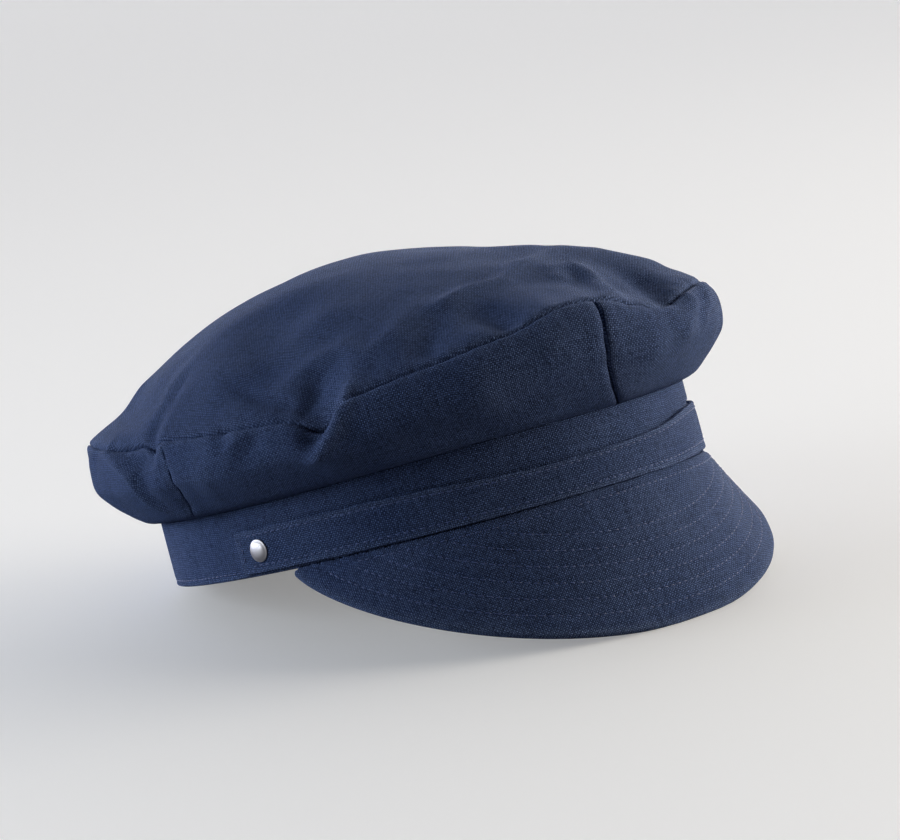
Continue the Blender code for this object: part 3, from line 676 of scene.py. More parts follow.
def canvas(name, shaded_gap_navy, lit_top_navy, worn):
    """Plain-woven cotton canvas: painted shade in the gaps, painted highlight on the thread tops, and the rubbed
    places.
    """
    material, tree, shader = new_material(name)
    flat = add(tree, "ShaderNodeUVMap", uv_map="flat_cloth").outputs["UV"]
    noise = add(tree, "ShaderNodeTexNoise", {"Vector": flat, "Scale": 0.09, "Detail": 1.0})
    sway = add(tree, "ShaderNodeVectorMath", {0: noise.outputs["Color"], 1: (0.5, 0.5, 0.5)},
               operation="SUBTRACT")
    sway = add(tree, "ShaderNodeVectorMath", {0: sway.outputs[0], "Scale": 1.6}, operation="SCALE")
    swayed = add(tree, "ShaderNodeVectorMath", {0: flat, 1: sway.outputs[0]}, operation="ADD")
    count = add(tree, "ShaderNodeVectorMath", {0: swayed.outputs[0], "Scale": 1 / THREAD},
                operation="SCALE").outputs[0]

    # A pillow for each thread top: the warp, under more pull, stands prouder than the weft
    waves = add(tree, "ShaderNodeVectorMath", {0: count, "Scale": math.pi}, operation="SCALE")
    waves = add(tree, "ShaderNodeVectorMath", {0: waves.outputs[0]}, operation="SINE")
    wave = add(tree, "ShaderNodeSeparateXYZ", {0: waves.outputs[0]})
    cross = add(tree, "ShaderNodeMath", {0: wave.outputs["X"], 1: wave.outputs["Y"]}, operation="MULTIPLY")
    lower = add(tree, "ShaderNodeMath", {0: cross.outputs[0], 1: -0.35}, operation="MULTIPLY")
    pillow = add(tree, "ShaderNodeMath", {0: cross.outputs[0], 1: lower.outputs[0]}, operation="MAXIMUM")
    pillow = add(tree, "ShaderNodeMath", {0: pillow.outputs[0], 1: 0.7}, operation="POWER")

    # Thick and thin yarn: long streaks along both ways of the weave, and chance at each crossing
    streaks = []
    for stretch in ((0.05, 0.9, 1.0), (0.9, 0.05, 1.0)):
        longer = add(tree, "ShaderNodeVectorMath", {0: count, 1: stretch}, operation="MULTIPLY")
        streaks.append(add(tree, "ShaderNodeTexNoise", {"Vector": longer.outputs[0], "Scale": 1.0,
                                                        "Detail": 2.0}).outputs[0])
    crossing = add(tree, "ShaderNodeVectorMath", {0: count}, operation="FLOOR")
    chance = add(tree, "ShaderNodeTexWhiteNoise", {"Vector": crossing.outputs[0]})
    yarn = add(tree, "ShaderNodeMath", {0: streaks[0], 1: streaks[1]}, operation="ADD")
    yarn = add(tree, "ShaderNodeMath", {0: chance.outputs["Value"], 1: 0.9, 2: yarn.outputs[0]},
               operation="MULTIPLY_ADD")
    yarn = add(tree, "ShaderNodeMapRange", {0: yarn.outputs[0], 1: 0.7, 2: 2.1, 3: 0.3, 4: 1.7})
    height = add(tree, "ShaderNodeMath", {0: pillow.outputs[0], 1: yarn.outputs[0]}, operation="MULTIPLY")

    # Colour: painted shade in the gaps, painted highlight on the thread tops, and paler again where hands and
    # seams have rubbed
    shade = add(tree, "ShaderNodeMix", {0: height.outputs[0], 6: linear(shaded_gap_navy), 7: linear(lit_top_navy)},
                data_type="RGBA")
    fade = add(tree, "ShaderNodeTexNoise", {"Vector": flat, "Scale": 0.028, "Detail": 3.0})
    fade = add(tree, "ShaderNodeMapRange", {0: fade.outputs[0], 1: 0.35, 2: 0.7, 3: 0.0, 4: 0.25})
    rubbed = add(tree, "ShaderNodeAttribute", attribute_name="rubbed")
    wear = add(tree, "ShaderNodeMath", {0: rubbed.outputs["Fac"], 1: 0.5, 2: fade.outputs[0]},
               operation="MULTIPLY_ADD")
    wear = add(tree, "ShaderNodeMath", {0: wear.outputs[0], 1: height.outputs[0]}, operation="MULTIPLY",
               use_clamp=True)
    colour = add(tree, "ShaderNodeMix", {0: wear.outputs[0], 6: shade.outputs[2], 7: linear(worn)},
                 data_type="RGBA")
    bump = add(tree, "ShaderNodeBump", {"Height": height.outputs[0], "Distance": 0.0003, "Strength": 1.0})
    tree.links.new(colour.outputs[2], shader.inputs["Base Color"])
    tree.links.new(bump.outputs["Normal"], shader.inputs["Normal"])
    shader.inputs["Roughness"].default_value = 0.92
    shader.inputs["IOR"].default_value = 1.46
    shader.inputs["Specular IOR Level"].default_value = 0.12
    shader.inputs["Sheen Weight"].default_value = 0.17
    shader.inputs["Sheen Roughness"].default_value = 0.45
    shader.inputs["Sheen Tint"].default_value = linear("#86a0e0")
    return material


# The darker navy is painted shade for the weave's gaps, the lighter navy a painted highlight for the thread tops
NAVY_CANVAS = canvas("navy_cotton_canvas", shaded_gap_navy="#121b31", lit_top_navy="#5a70a4", worn="#8799c2")
print("canvas threads:", THREAD, "mm apart,", round(25.4 / THREAD), "to the inch")

# %% [markdown]
# ## Edges that roll into their seams
#
# Two pieces are laid face to face, sewn, and opened out. So along a seam each edge turns down
# into it, and from outside there is a narrow groove between two small rounds. A quarter circle
# gives that, with its rows and columns crowded where it bends most. The thread pulls a little
# unevenly too, which leaves faint puckers beside the seam.

# %% Rolled edges and crowded rows
ROLL = 0.7       # mm, radius of an edge as it turns down into a seam
RIM_DEPTH = 2.4  # mm that the thread draws the rim seam further in


def rolled(distance, radius=ROLL):
    """How deep a rolled edge lies, at a distance from its seam."""
    share = np.clip(1 - distance / radius, 0, 1)
    return radius * (1 - np.sqrt(1 - share ** 2))


def drawn(distance, depth=RIM_DEPTH, half=0.8):
    """How much deeper tight thread draws the cloth right beside a seam."""
    return depth * np.exp(-(distance / half) ** 2)


def rim_pull(turn):
    """Share of that depth at the rim: on the far right the thread is slack and the seam shallow."""
    return 1 - 0.75 * np.exp(-(turn_apart(turn, 134.0) / 27.0) ** 2)


def spread(length, step, radius=ROLL, both=True):
    """Places along a length in mm, crowded where an edge rolls at its start (and its end)."""
    bend = radius * (1 - np.sin(np.radians([90, 74, 58, 42, 26, 10])))
    start, end = 1.4 * radius, length - (1.4 * radius if both else 0.0)
    inner = np.linspace(start, end, max(2, int(round((end - start) / step)) + 1))
    parts = [bend, inner]
    if both:
        parts.append(length - bend[::-1])
    return np.concatenate(parts)


def arc(points, axis):
    """Distance walked along one axis of a grid of points."""
    steps = np.linalg.norm(np.diff(points, axis=axis), axis=-1)
    walked = np.cumsum(steps, axis=axis)
    start = np.zeros_like(np.take(walked, [0], axis=axis))
    return np.concatenate([start, walked], axis=axis)


def pucker(along, distance, seed):
    """Faint ripples beside a seam, from the pull of its thread."""
    drift = np.sin(along / 23.0 + seed) + 0.7 * np.sin(along / 9.1 + 2.3 * seed)
    return 0.16 * np.sin(2 * np.pi * along / 7.5 + 1.4 * drift) * np.exp(-distance / 4.0)


print("a rolled edge lies", round(float(rolled(np.array(0.0))), 1), "mm deep at its seam")

# %% [markdown]
# ## The round top
#
# The top is the largest piece and catches most of the light. It could be a flat disc draped by a
# simulation, but the photograph fixes where its folds lie, so it is drawn from the crown's own
# surface: rings of points run from the rim seam to the middle. Its flat map is drawn from the
# middle outwards, because the real piece is cut as one round of cloth with a straight grain.

# %% Sew the top
TOP_ARC = 112.0    # mm of cloth from the rim seam to the middle
SIDE_ARC = 40.0    # mm of cloth from the band to the rim seam


def fold_wear(turn, place):
    """Rubbed cloth: the crests of the folds, and a little beside every seam."""
    crest = np.clip(fold_lift(turn, place) / FOLD_DEPTH, 0, 1)
    near = np.abs(place - 1) * np.where(place > 1, TOP_ARC, SIDE_ARC)
    return 0.5 * crest + 0.4 * np.exp(-((near - 1.2) / 1.6) ** 2)


def make_top():
    turns = np.arange(0, 360, 360 / 560)
    distances = spread(TOP_ARC * 0.985, 1.5, both=False)
    turn, place = np.meshgrid(turns, 1 + distances / TOP_ARC)
    surface = crown(turn, place)
    normal = facing(crown, turn, np.minimum(place, 1.97))
    along = np.radians(turn) * (LENGTH_RADIUS + OVERHANG)
    deeper = drawn(distances)[:, None] * rim_pull(turn)
    sunk = rolled(distances, 1.2 * ROLL)[:, None] + deeper - pucker(along, distances[:, None], 1.0)
    outside = surface - normal * sunk[..., None]
    inner_rows = np.linspace(0, len(distances) - 1, 34).round().astype(int)
    inside = (surface - normal * (CROWN_WALL + deeper)[..., None])[inner_rows]
    tip = crown(np.array([0.0]), np.array([2.0]))[0]
    tips = np.array([tip, tip - (0, 0, CROWN_WALL)])
    inward = arc(surface, 0)
    from_middle = (inward[-1] - inward) + np.linalg.norm(surface[-1] - tip, axis=-1)
    plan = surface[..., :2] - tip[:2]
    flat = plan / np.linalg.norm(plan, axis=-1, keepdims=True) * from_middle[..., None]
    flat = np.concatenate([flat, flat[:, :1]], 1)
    return cloth_shell("canvas_top", outside, inside, flat, fold_wear(turn, place), ring=True, tips=tips)


top = make_top()
dress(top, NAVY_CANVAS, "crown_top", "crown_top")

# %% [markdown]
# ## Four side panels
#
# Each side panel is a long strip, cut on the straight grain and sewn to the band below, to the
# top above and to its neighbours at both ends. All four come from the same surface of turn and
# place, between two seams that slant a little as on the real cap. The seam in front lies deeper
# than the others, because four layers of allowance meet behind it.

# %% Sew the side panels
FRONT_SEAM = 1.5   # mm that the front seam lies deeper


def make_side(panel, name):
    places = spread(SIDE_ARC, 0.85) / SIDE_ARC
    up = places[:, None]
    first, second = SEAMS[panel], SEAMS[(panel + 1) % 4]
    start, end = seam_turn(first, up), seam_turn(second, up)
    end = np.where(end < start, end + 360, end)
    middle = np.broadcast_to([[0.5]], (1, 400))
    walk = arc(plain_crown(np.linspace(start.mean(), end.mean(), 400)[None], middle), 1)[0, -1]
    share = spread(walk, 1.15) / walk
    turn = start + (end - start) * share
    place = np.broadcast_to(up, turn.shape)
    surface = crown(turn, place)
    normal = facing(crown, turn, np.minimum(place, 0.999))
    along = arc(surface, 1)
    from_start, from_end = along, along[:, -1:] - along
    beside = np.minimum(from_start, from_end)
    below = (1 - place) * SIDE_ARC
    sunk = np.maximum(rolled(beside), rolled(below, 1.2 * ROLL))
    ripple = pucker(np.radians(turn) * (LENGTH_RADIUS + OVERHANG), below, 4.0)
    ripple = ripple + pucker(place * SIDE_ARC, beside, 2.0 + panel)
    deeper = drawn(below) * rim_pull(turn)
    if panel == 0:
        deeper = np.maximum(deeper, drawn(from_start, FRONT_SEAM, 0.55))
    if panel == 3:
        deeper = np.maximum(deeper, drawn(from_end, FRONT_SEAM, 0.55))
    outside = surface - normal * (sunk - ripple + deeper)[..., None]
    inside = surface - normal * (CROWN_WALL + deeper)[..., None]
    flat = np.stack([np.broadcast_to(arc(surface, 1)[len(places) // 2], turn.shape), arc(surface, 0)], -1)
    wear = fold_wear(turn, place) + 0.35 * np.exp(-((beside - 1.2) / 1.4) ** 2)
    return cloth_shell(name, outside, inside, flat, wear)


side_nodes = ("side_front_right", "side_back_right", "side_back_left", "side_front_left")
for number, node in enumerate(side_nodes):
    dress(make_side(number, "canvas_" + node), NAVY_CANVAS, node, node)

# %% [markdown]
# ## The band
#
# The band is a doubled strip of canvas that stands upright round the head. Its lower edge is a
# fold, so it is round, not sharp. An extruded curve would do for a plain band. Here two grids
# follow a rounded section instead, so that the sewn groove near the lower edge can be pressed in.

# %% Fold and stitch the band
HEM = 2.2             # mm from an edge to the row of stitches beside it
UPPER_HEM = 1.5       # mm from the strap's upper edge to its row of stitches
STITCH_GROOVE = 0.22  # mm that a row of stitches pulls the cloth down
STRAP_PRESS = 0.7     # mm that the strap's upper edge presses into the band


def groove(distance, depth=STITCH_GROOVE, half=0.7):
    return depth * np.exp(-(distance / half) ** 2)


def make_band():
    turns = np.arange(0, 360, 360 / 520)
    top_edge = band_top(turns)
    share = np.linspace(0, 1, 44)[1:-1]
    strap_top = STRAP_LOW + STRAP_HEIGHT * (1 + smooth_column(STRAP_LIE, 2, turn_apart(turns, 0.0)))
    by_strap = np.abs(turn_apart(turns, 0.0)) < STRAP_ARC
    bend = np.radians([80, 55, 30, 10])
    fold = np.stack([1 - np.cos(bend), 1 - np.sin(bend)], 1)
    rows = []
    for side in (0, 1):
        grid = []
        for depth, height in fold:
            grid.append((depth, np.full_like(top_edge, height)))
        for s in share:
            grid.append((0.0, 1.2 + (top_edge - 1.8) * s))
        for depth, height in 0.35 * fold[::-1]:
            grid.append((depth, top_edge - height))
        rows.append(grid)
    point, out = around(turns)
    wave = slow_waves(point)
    sides = []
    for side, grid in enumerate(rows):
        made = []
        for depth, height in grid:
            if side == 0:
                pressed = by_strap * groove(height - strap_top - 0.2, STRAP_PRESS, 0.7)
                away = -depth + 0.12 * wave - groove(height - HEM) - pressed
            else:
                away = -BAND_WALL + depth * 0.9
            row = point + out * np.broadcast_to(away, turns.shape)[:, None]
            row[:, 2] = height
            made.append(row)
        sides.append(np.array(made))
    outside, inside = sides
    length = arc(np.concatenate([point, point[:1]])[None], 1)[0]
    heights = np.concatenate([outside[..., 2], outside[:, :1, 2]], 1)
    flat = np.stack([np.broadcast_to(length, heights.shape), heights], -1)
    wear = 0.6 * np.exp(-(outside[..., 2] / 1.2) ** 2)
    return cloth_shell("canvas_band", outside, inside, flat, wear, ring=True)


dress(make_band(), NAVY_CANVAS, "band", "band")

# %% [markdown]
# ## The strap
#
# A cap of this kind once had a strap to hold it on in wind. Here it is a flat strip of the same
# canvas, its edges folded under and stitched, held by a stud at each end. It lies close to the
# band and lifts a little between the studs.

# %% Lay the strap round the front
STRAP_EDGE = 0.45  # mm, radius of the strap's folded edges


def strap_at(turn, share):
    """Height and standing off of the strap's back, from its lower to its upper edge."""
    low = STRAP_LOW + STRAP_HEIGHT * smooth_column(STRAP_LIE, 1, turn)
    high = STRAP_LOW + STRAP_HEIGHT * (1 + smooth_column(STRAP_LIE, 2, turn))
    off_low = STRAP_WALL * smooth_column(STRAP_LIE, 3, turn)
    off_high = STRAP_WALL * smooth_column(STRAP_LIE, 4, turn)
    return low + (high - low) * share, GAP + off_low + (off_high - off_low) * share


def strap_face(turn, share, lift=0.0):
    """Point on the strap's outer face, and the level outward direction."""
    point, out = around(turn)
    height, off = strap_at(turn, share)
    point = point + out * (off + STRAP_WALL + lift)[..., None]
    point[..., 2] = height
    return point, out


def make_strap():
    full = 2 * np.radians(STRAP_ARC) * (LENGTH_RADIUS + WIDTH_RADIUS) / 2
    walked = spread(full, 1.05, STRAP_EDGE)
    turns = STRAP_ARC * (2 * walked / full - 1)
    climbed = spread(STRAP_HEIGHT, 0.55, STRAP_EDGE)
    turn, share = np.meshgrid(turns, climbed / STRAP_HEIGHT)
    face, out = strap_face(turn, share)
    edge = np.minimum(np.minimum(climbed, STRAP_HEIGHT - climbed)[:, None],
                      np.minimum(walked, full - walked)[None])
    from_top = (STRAP_HEIGHT - climbed)[:, None]
    sewn = np.where(edge == from_top, groove(edge - UPPER_HEM), groove(edge - HEM))
    sunk = rolled(edge, STRAP_EDGE) + sewn - 0.1 * slow_waves(face * 1.3)
    outside = face - out * sunk[..., None]
    inside = face - out * (STRAP_WALL - 0.25 * rolled(edge, STRAP_EDGE))[..., None]
    flat = np.stack([np.broadcast_to(walked, turn.shape), face[..., 2]], -1)
    wear = 0.55 * np.exp(-((edge - 0.7) / 0.9) ** 2)
    return cloth_shell("canvas_strap", outside, inside, flat, wear)


dress(make_strap(), NAVY_CANVAS, "strap", "strap")

# %% [markdown]
# ## The peak
#
# A board is cased in canvas, and rows of stitching through all of it keep the peak flat and
# stiff. They run side by side with the outer edge. The peak is nearly part of a cone, so it can
# be unrolled: its flat map gives the true grain of the cloth, and also the distance of each spot
# from the outer edge, which is where the rows of stitches are measured from.

# %% Unroll the peak
ROW_FIRST = 6.0    # mm from the turned edge to the first row of stitches
ROW_STEP = 5.3     # mm from one row to the next
ROWS = 6
ROOT_PRESS = 0.9   # mm that the peak is drawn in right below the strap


def peak_shape(turn, share):
    """Top side of the peak, and its facing; share runs from the band to the outer edge."""
    point, out = around(turn)
    u = turn / PEAK_ARC
    reach = PEAK_REACH * np.clip(1 - u * u, 0, 1) ** PEAK_FULLNESS
    slope = np.radians(PEAK_SLOPE - PEAK_SLOPE_FALL * u * u)
    along = reach * share
    top = point + out * (GAP + STRAP_WALL + along * np.cos(slope))[..., None]
    top[..., 2] = STRAP_LOW - 2 * GAP - along * np.sin(slope)
    up = np.stack([0 * u, 0 * u, np.cos(slope)], -1) + out * np.sin(slope)[..., None]
    return top, up


def unroll_peak():
    """Flat line of the peak's inner edge, its direction outwards, and the reach, by turn."""
    turns = np.linspace(-PEAK_ARC, PEAK_ARC, 1201) * 0.995
    base = peak_shape(turns, np.zeros_like(turns))[0]
    u = turns / PEAK_ARC
    step = np.linalg.norm(np.diff(base, axis=0), axis=1)
    out = around(turns)[1]
    heading = np.arctan2(-out[:, 0], -out[:, 1])
    slope = np.radians(PEAK_SLOPE - PEAK_SLOPE_FALL * u * u)
    bend = np.diff(heading) * np.cos((slope[1:] + slope[:-1]) / 2)
    flat_heading = np.concatenate([[0.0], np.cumsum(bend)])
    flat_heading -= flat_heading[len(turns) // 2]
    mid = (flat_heading[1:] + flat_heading[:-1]) / 2
    line = np.concatenate([[[0.0, 0.0]], np.cumsum(np.stack([-np.cos(mid), np.sin(mid)], 1) * step[:, None], 0)])
    line -= line[len(turns) // 2]
    outward = np.stack([-np.sin(flat_heading), -np.cos(flat_heading)], 1)
    reach = PEAK_REACH * (1 - u * u) ** PEAK_FULLNESS
    return turns, line, outward, reach


FLAT_TURNS, FLAT_LINE, FLAT_OUT, FLAT_REACH = unroll_peak()
FLAT_EDGE = FLAT_LINE + FLAT_OUT * FLAT_REACH[:, None]


def peak_flat(turn, share):
    """Flat place of a spot of the peak, in mm."""
    line = [np.interp(turn, FLAT_TURNS, FLAT_LINE[:, k]) for k in (0, 1)]
    out = [np.interp(turn, FLAT_TURNS, FLAT_OUT[:, k]) for k in (0, 1)]
    reach = np.interp(turn, FLAT_TURNS, FLAT_REACH)
    return np.stack([line[k] + out[k] * reach * share for k in (0, 1)], -1)


def edge_distance(flat):
    """Distance of flat spots from the peak's outer edge, in mm."""
    nearest = np.full(flat.shape[:-1], 1e9)
    for spot in FLAT_EDGE[::6]:
        nearest = np.minimum(nearest, np.hypot(flat[..., 0] - spot[0], flat[..., 1] - spot[1]))
    return nearest


print("the peak's outer edge is", round(float(arc(FLAT_EDGE[None], 1)[0, -1])), "mm long")

# %% Make the peak
def make_peak():
    turns = np.linspace(-PEAK_ARC, PEAK_ARC, 270) * 0.985
    shares = np.concatenate([[-0.01, 0.01], np.linspace(0.03, 1, 60)])
    turn, share = np.meshgrid(turns, shares)
    top, up = peak_shape(turn, share)
    reach = PEAK_REACH * (1 - (turn / PEAK_ARC) ** 2) ** PEAK_FULLNESS
    thick = STRAP_WALL + (PEAK_THICKNESS - STRAP_WALL) * np.clip(reach * share / (1.25 * PEAK_THICKNESS), 0, 1)
    flat = peak_flat(turn, share)
    edge = edge_distance(flat)
    sunk = np.zeros_like(edge)
    for row in range(ROWS):
        sunk += groove(edge - ROW_FIRST - ROW_STEP * row, 0.3, 0.8)
    sunk += groove(reach * share - 2.6, 0.3, 0.8) + groove(reach * share, ROOT_PRESS, 0.9)
    sunk -= 0.1 * slow_waves(top * 1.2)
    under = top - up * (thick - sunk * 0.6)[..., None]
    under[0] = top[0] - around(turn)[1][0] * 0.93 * STRAP_WALL
    top = top - up * sunk[..., None]
    beyond = np.cross(around(turns - 0.5)[0] - around(turns + 0.5)[0], up[-1])
    beyond *= PEAK_EDGE / np.linalg.norm(beyond, axis=-1, keepdims=True)
    half = up[-1] * thick[-1][:, None] / 2
    along = np.gradient(flat[-1], axis=0)
    away = np.stack([along[:, 1], -along[:, 0]], 1) / np.linalg.norm(along, axis=1, keepdims=True)
    away *= np.sign(((flat[-1] - flat[-2]) * away).sum(1, keepdims=True))
    rows_over, rows_under, flat_rows = [], [], []
    for angle in np.radians([20, 40, 58, 74, 85]):
        reach_out, drop = beyond * math.sin(angle), half * (1 - math.cos(angle))
        rows_over.append(top[-1] + reach_out - drop)
        rows_under.append(under[-1] + reach_out + drop)
        flat_rows.append(flat[-1] + away * (PEAK_THICKNESS / 2) * angle)
    top = np.concatenate([top, rows_over])
    under = np.concatenate([under, rows_under])
    flat = np.concatenate([flat, flat_rows])
    wear = 0.7 * np.exp(-(edge / 1.4) ** 2)
    wear = np.concatenate([wear, np.repeat(wear[-1:], 5, 0)])
    return cloth_shell("canvas_peak", top, under, flat, wear)


dress(make_peak(), NAVY_CANVAS, "peak", "peak")

# %% [markdown]
# ## Thread
#
# Lockstitching shows as a row of short dashes that dip into the cloth at both ends. Drawing them
# in the material alone would look painted on, so each one is a small curved body. A function
# takes any line on the cloth, walks along it and sets a stitch every few millimetres. The thread
# is smooth polyester, so it shines a little more than the cotton round it.

# %% Stitches along a line
STITCH_PITCH = 2.8
STITCH_LENGTH = 2.1
THREAD_RADIUS = 0.19


def stitches_on(line, facing_out, pitch=STITCH_PITCH):
    """Points and faces of the stitches along one dense line of points and its facings."""
    walked = arc(line[None], 1)[0]
    starts = np.arange(0.5 * pitch, walked[-1] - pitch, pitch)
    share = np.array([0.0, 0.14, 0.38, 0.62, 0.86, 1.0])
    lift = np.array([-0.25, 0.04, 0.17, 0.17, 0.04, -0.25])
    radius = THREAD_RADIUS * np.array([0.55, 0.9, 1.0, 1.0, 0.9, 0.55])
    jitter = seeded.uniform(-0.12, 0.12, len(starts))
    at = starts[:, None] + jitter[:, None] + STITCH_LENGTH * share
    centre = np.stack([np.interp(at, walked, line[:, k]) for k in range(3)], -1)
    out = np.stack([np.interp(at, walked, facing_out[:, k]) for k in range(3)], -1)
    out /= np.linalg.norm(out, axis=-1, keepdims=True)
    centre += out * lift[None, :, None]
    way = np.gradient(centre, axis=1)
    side = np.cross(way, out)
    side /= np.linalg.norm(side, axis=-1, keepdims=True)
    sides = 6
    rings = []
    for k in range(sides):
        a = 2 * np.pi * k / sides
        rings.append(centre + (side * math.cos(a) + out * math.sin(a)) * radius[None, :, None])
    points = np.stack(rings, 2)
    count, steps = points.shape[0], len(share)
    faces = []
    for s in range(count):
        first = s * steps * sides
        faces.append([first + k for k in range(sides)])
        for i in range(steps - 1):
            for k in range(sides):
                n = (k + 1) % sides
                faces.append([first + i * sides + k, first + i * sides + n,
                              first + (i + 1) * sides + n, first + (i + 1) * sides + k])
        faces.append([first + (steps - 1) * sides + k for k in range(sides)])
    return points.reshape(-1, 3), faces


def sew(name, lines, slot):
    """One piece of thread with all the stitches along several lines."""
    points, faces, first = [], [], 0
    for line, out in lines:
        made, corners = stitches_on(line, out)
        faces += [[first + c for c in f] for f in corners]
        points.append(made)
        first += len(made)
    piece = smooth_mesh(name, np.concatenate(points), faces)
    dress(piece, NAVY_THREAD, slot)
    return piece


def thread(name, colour):
    """Smooth polyester sewing thread, two-ply: a fine twist and a soft gloss."""
    material, tree, shader = new_material(name)
    place = add(tree, "ShaderNodeTexCoord").outputs["Object"]
    twist = add(tree, "ShaderNodeTexNoise", {"Vector": place, "Scale": 2600.0, "Detail": 1.0})
    shade = add(tree, "ShaderNodeMix", {0: twist.outputs[0], 6: linear("#25325c"), 7: linear(colour)},
                data_type="RGBA")
    bump = add(tree, "ShaderNodeBump", {"Height": twist.outputs[0], "Distance": 0.00008, "Strength": 0.6})
    tree.links.new(shade.outputs[2], shader.inputs["Base Color"])
    tree.links.new(bump.outputs["Normal"], shader.inputs["Normal"])
    shader.inputs["Roughness"].default_value = 0.42
    shader.inputs["IOR"].default_value = 1.58
    return material


NAVY_THREAD = thread("navy_polyester_thread", "#5f74b2")

# %% Sew the peak
def on_peak(flat):
    """Turn and share of flat spots on the peak, and whether they lie between its edges."""
    best = np.full(len(flat), 1e9)
    turn, share = np.zeros(len(flat)), np.zeros(len(flat))
    for i in range(len(FLAT_TURNS)):
        gap = flat - FLAT_LINE[i]
        along = gap @ FLAT_OUT[i]
        aside_ = np.abs(gap[:, 0] * FLAT_OUT[i, 1] - gap[:, 1] * FLAT_OUT[i, 0])
        better = (aside_ < best) & (along > -3)
        best = np.where(better, aside_, best)
        turn = np.where(better, FLAT_TURNS[i], turn)
        share = np.where(better, along / max(FLAT_REACH[i], 1e-6), share)
    return turn, share, (share > 0.0) & (share < 1) & (best < 0.3)


def peak_lines():
    way = np.gradient(FLAT_EDGE, axis=0)
    way /= np.linalg.norm(way, axis=1, keepdims=True)
    inward = np.stack([way[:, 1], -way[:, 0]], 1)
    inward *= np.sign((inward * -FLAT_OUT).sum(1))[:, None]
    lines = []
    for row in range(ROWS):
        spots = (FLAT_EDGE + inward * (ROW_FIRST + ROW_STEP * row))[::3]
        clear = edge_distance(spots) > (ROW_FIRST + ROW_STEP * row) - 0.4
        turn, share, on = on_peak(spots)
        reach = np.interp(turn, FLAT_TURNS, FLAT_REACH)
        keep = on & clear & (share * reach > 3.5)
        top, up = peak_shape(turn[keep], share[keep])
        lines.append((top - up * 0.3, up))
    turn = np.linspace(-62, 62, 500)
    reach = np.interp(turn, FLAT_TURNS, FLAT_REACH)
    top, up = peak_shape(turn, 2.6 / reach)
    lines.append((top - up * 0.3, up))
    return lines


sew("peak_stitches", peak_lines(), "peak")

# %% Sew the strap and the band
def strap_lines():
    lines = []
    span = np.linspace(-STRAP_ARC + 1.8, STRAP_ARC - 1.8, 900)
    for share in (HEM / STRAP_HEIGHT, 1 - UPPER_HEM / STRAP_HEIGHT):
        face, out = strap_face(span, np.full_like(span, share), -STITCH_GROOVE)
        lines.append((face, out))
    for end in (-1, 1):
        share = np.linspace(HEM / STRAP_HEIGHT, 1 - UPPER_HEM / STRAP_HEIGHT, 60)
        turn = np.full_like(share, end * (STRAP_ARC - np.degrees(HEM / WIDTH_RADIUS)))
        face, out = strap_face(turn, share, -STITCH_GROOVE)
        lines.append((face, out))
    return lines


def band_lines():
    turns = np.linspace(STRAP_ARC + 1.0, 360 - STRAP_ARC - 1.0, 1200)
    point, out = around(turns)
    point = point - out * STITCH_GROOVE
    point[:, 2] = HEM
    return [(point, out)]


sew("strap_stitches", strap_lines(), "strap")
sew("band_stitches", band_lines(), "band")

# %% [markdown]
# ## Two studs
#
# Each end of the strap is held by a small domed stud, stamped from brass and plated with nickel.
# Anything round like this is a profile turned about an axis. The flat flange round the dome
# catches a thin ring of light, which tells the eye that the stud is pressed metal.

# %% Turn the studs
def nickel(name):
    """Nickel-plated brass, tumbled: bright, with fine scratches and a slightly yellow grey."""
    material, tree, shader = new_material(name)
    place = add(tree, "ShaderNodeTexCoord").outputs["Object"]
    scratch = add(tree, "ShaderNodeTexNoise", {"Vector": place, "Scale": 1500.0, "Detail": 3.0})
    dull = add(tree, "ShaderNodeMapRange", {0: scratch.outputs[0], 1: 0.3, 2: 0.7, 3: 0.38, 4: 0.55})
    bump = add(tree, "ShaderNodeBump", {"Height": scratch.outputs[0], "Distance": 0.00001, "Strength": 0.3})
    tree.links.new(dull.outputs[0], shader.inputs["Roughness"])
    tree.links.new(bump.outputs["Normal"], shader.inputs["Normal"])
    shader.inputs["Base Color"].default_value = linear("#cac5c8")
    shader.inputs["Metallic"].default_value = 1.0
    return material


NICKEL = nickel("nickel_plated_brass")
STUD_PROFILE = [(0.80, 0.0), (0.97, 0.04), (1.0, 0.14), (0.99, 0.26), (0.95, 0.34), (0.90, 0.38),
                (0.86, 0.42), (0.80, 0.54), (0.70, 0.68), (0.58, 0.80), (0.42, 0.91), (0.25, 0.97),
                (0.10, 1.0)]


def make_stud(name, turn):
    point, out = (v[0] for v in around(np.array([turn])))
    off = strap_at(np.array([turn]), 0.5)[1][0]
    side = np.cross((0.0, 0.0, 1.0), out)
    centre = point + out * (off + STRAP_WALL + 0.1 * GAP) + (0, 0, STUD_RISE)
    count = 56
    a = np.linspace(0, 2 * np.pi, count, endpoint=False)
    ring = side * np.cos(a)[:, None] + np.array([0, 0, 1.0]) * np.sin(a)[:, None]
    points = [centre + ring * (r * STUD_DIAMETER / 2) + out * h * STUD_HEIGHT for r, h in STUD_PROFILE]
    points = np.concatenate(points + [[centre + out * STUD_HEIGHT]])
    faces = [list(range(count))]
    for i in range(len(STUD_PROFILE) - 1):
        for k in range(count):
            n = (k + 1) % count
            faces.append([i * count + k, i * count + n, (i + 1) * count + n, (i + 1) * count + k])
    last = (len(STUD_PROFILE) - 1) * count
    faces += [[last + k, last + (k + 1) % count, len(points) - 1] for k in range(count)]
    return smooth_mesh(name, points, faces)


for name, turn in (("stud_right", STUD_TURN), ("stud_left", -STUD_TURN)):
    dress(make_stud("nickel_" + name, turn), NICKEL, name, name)
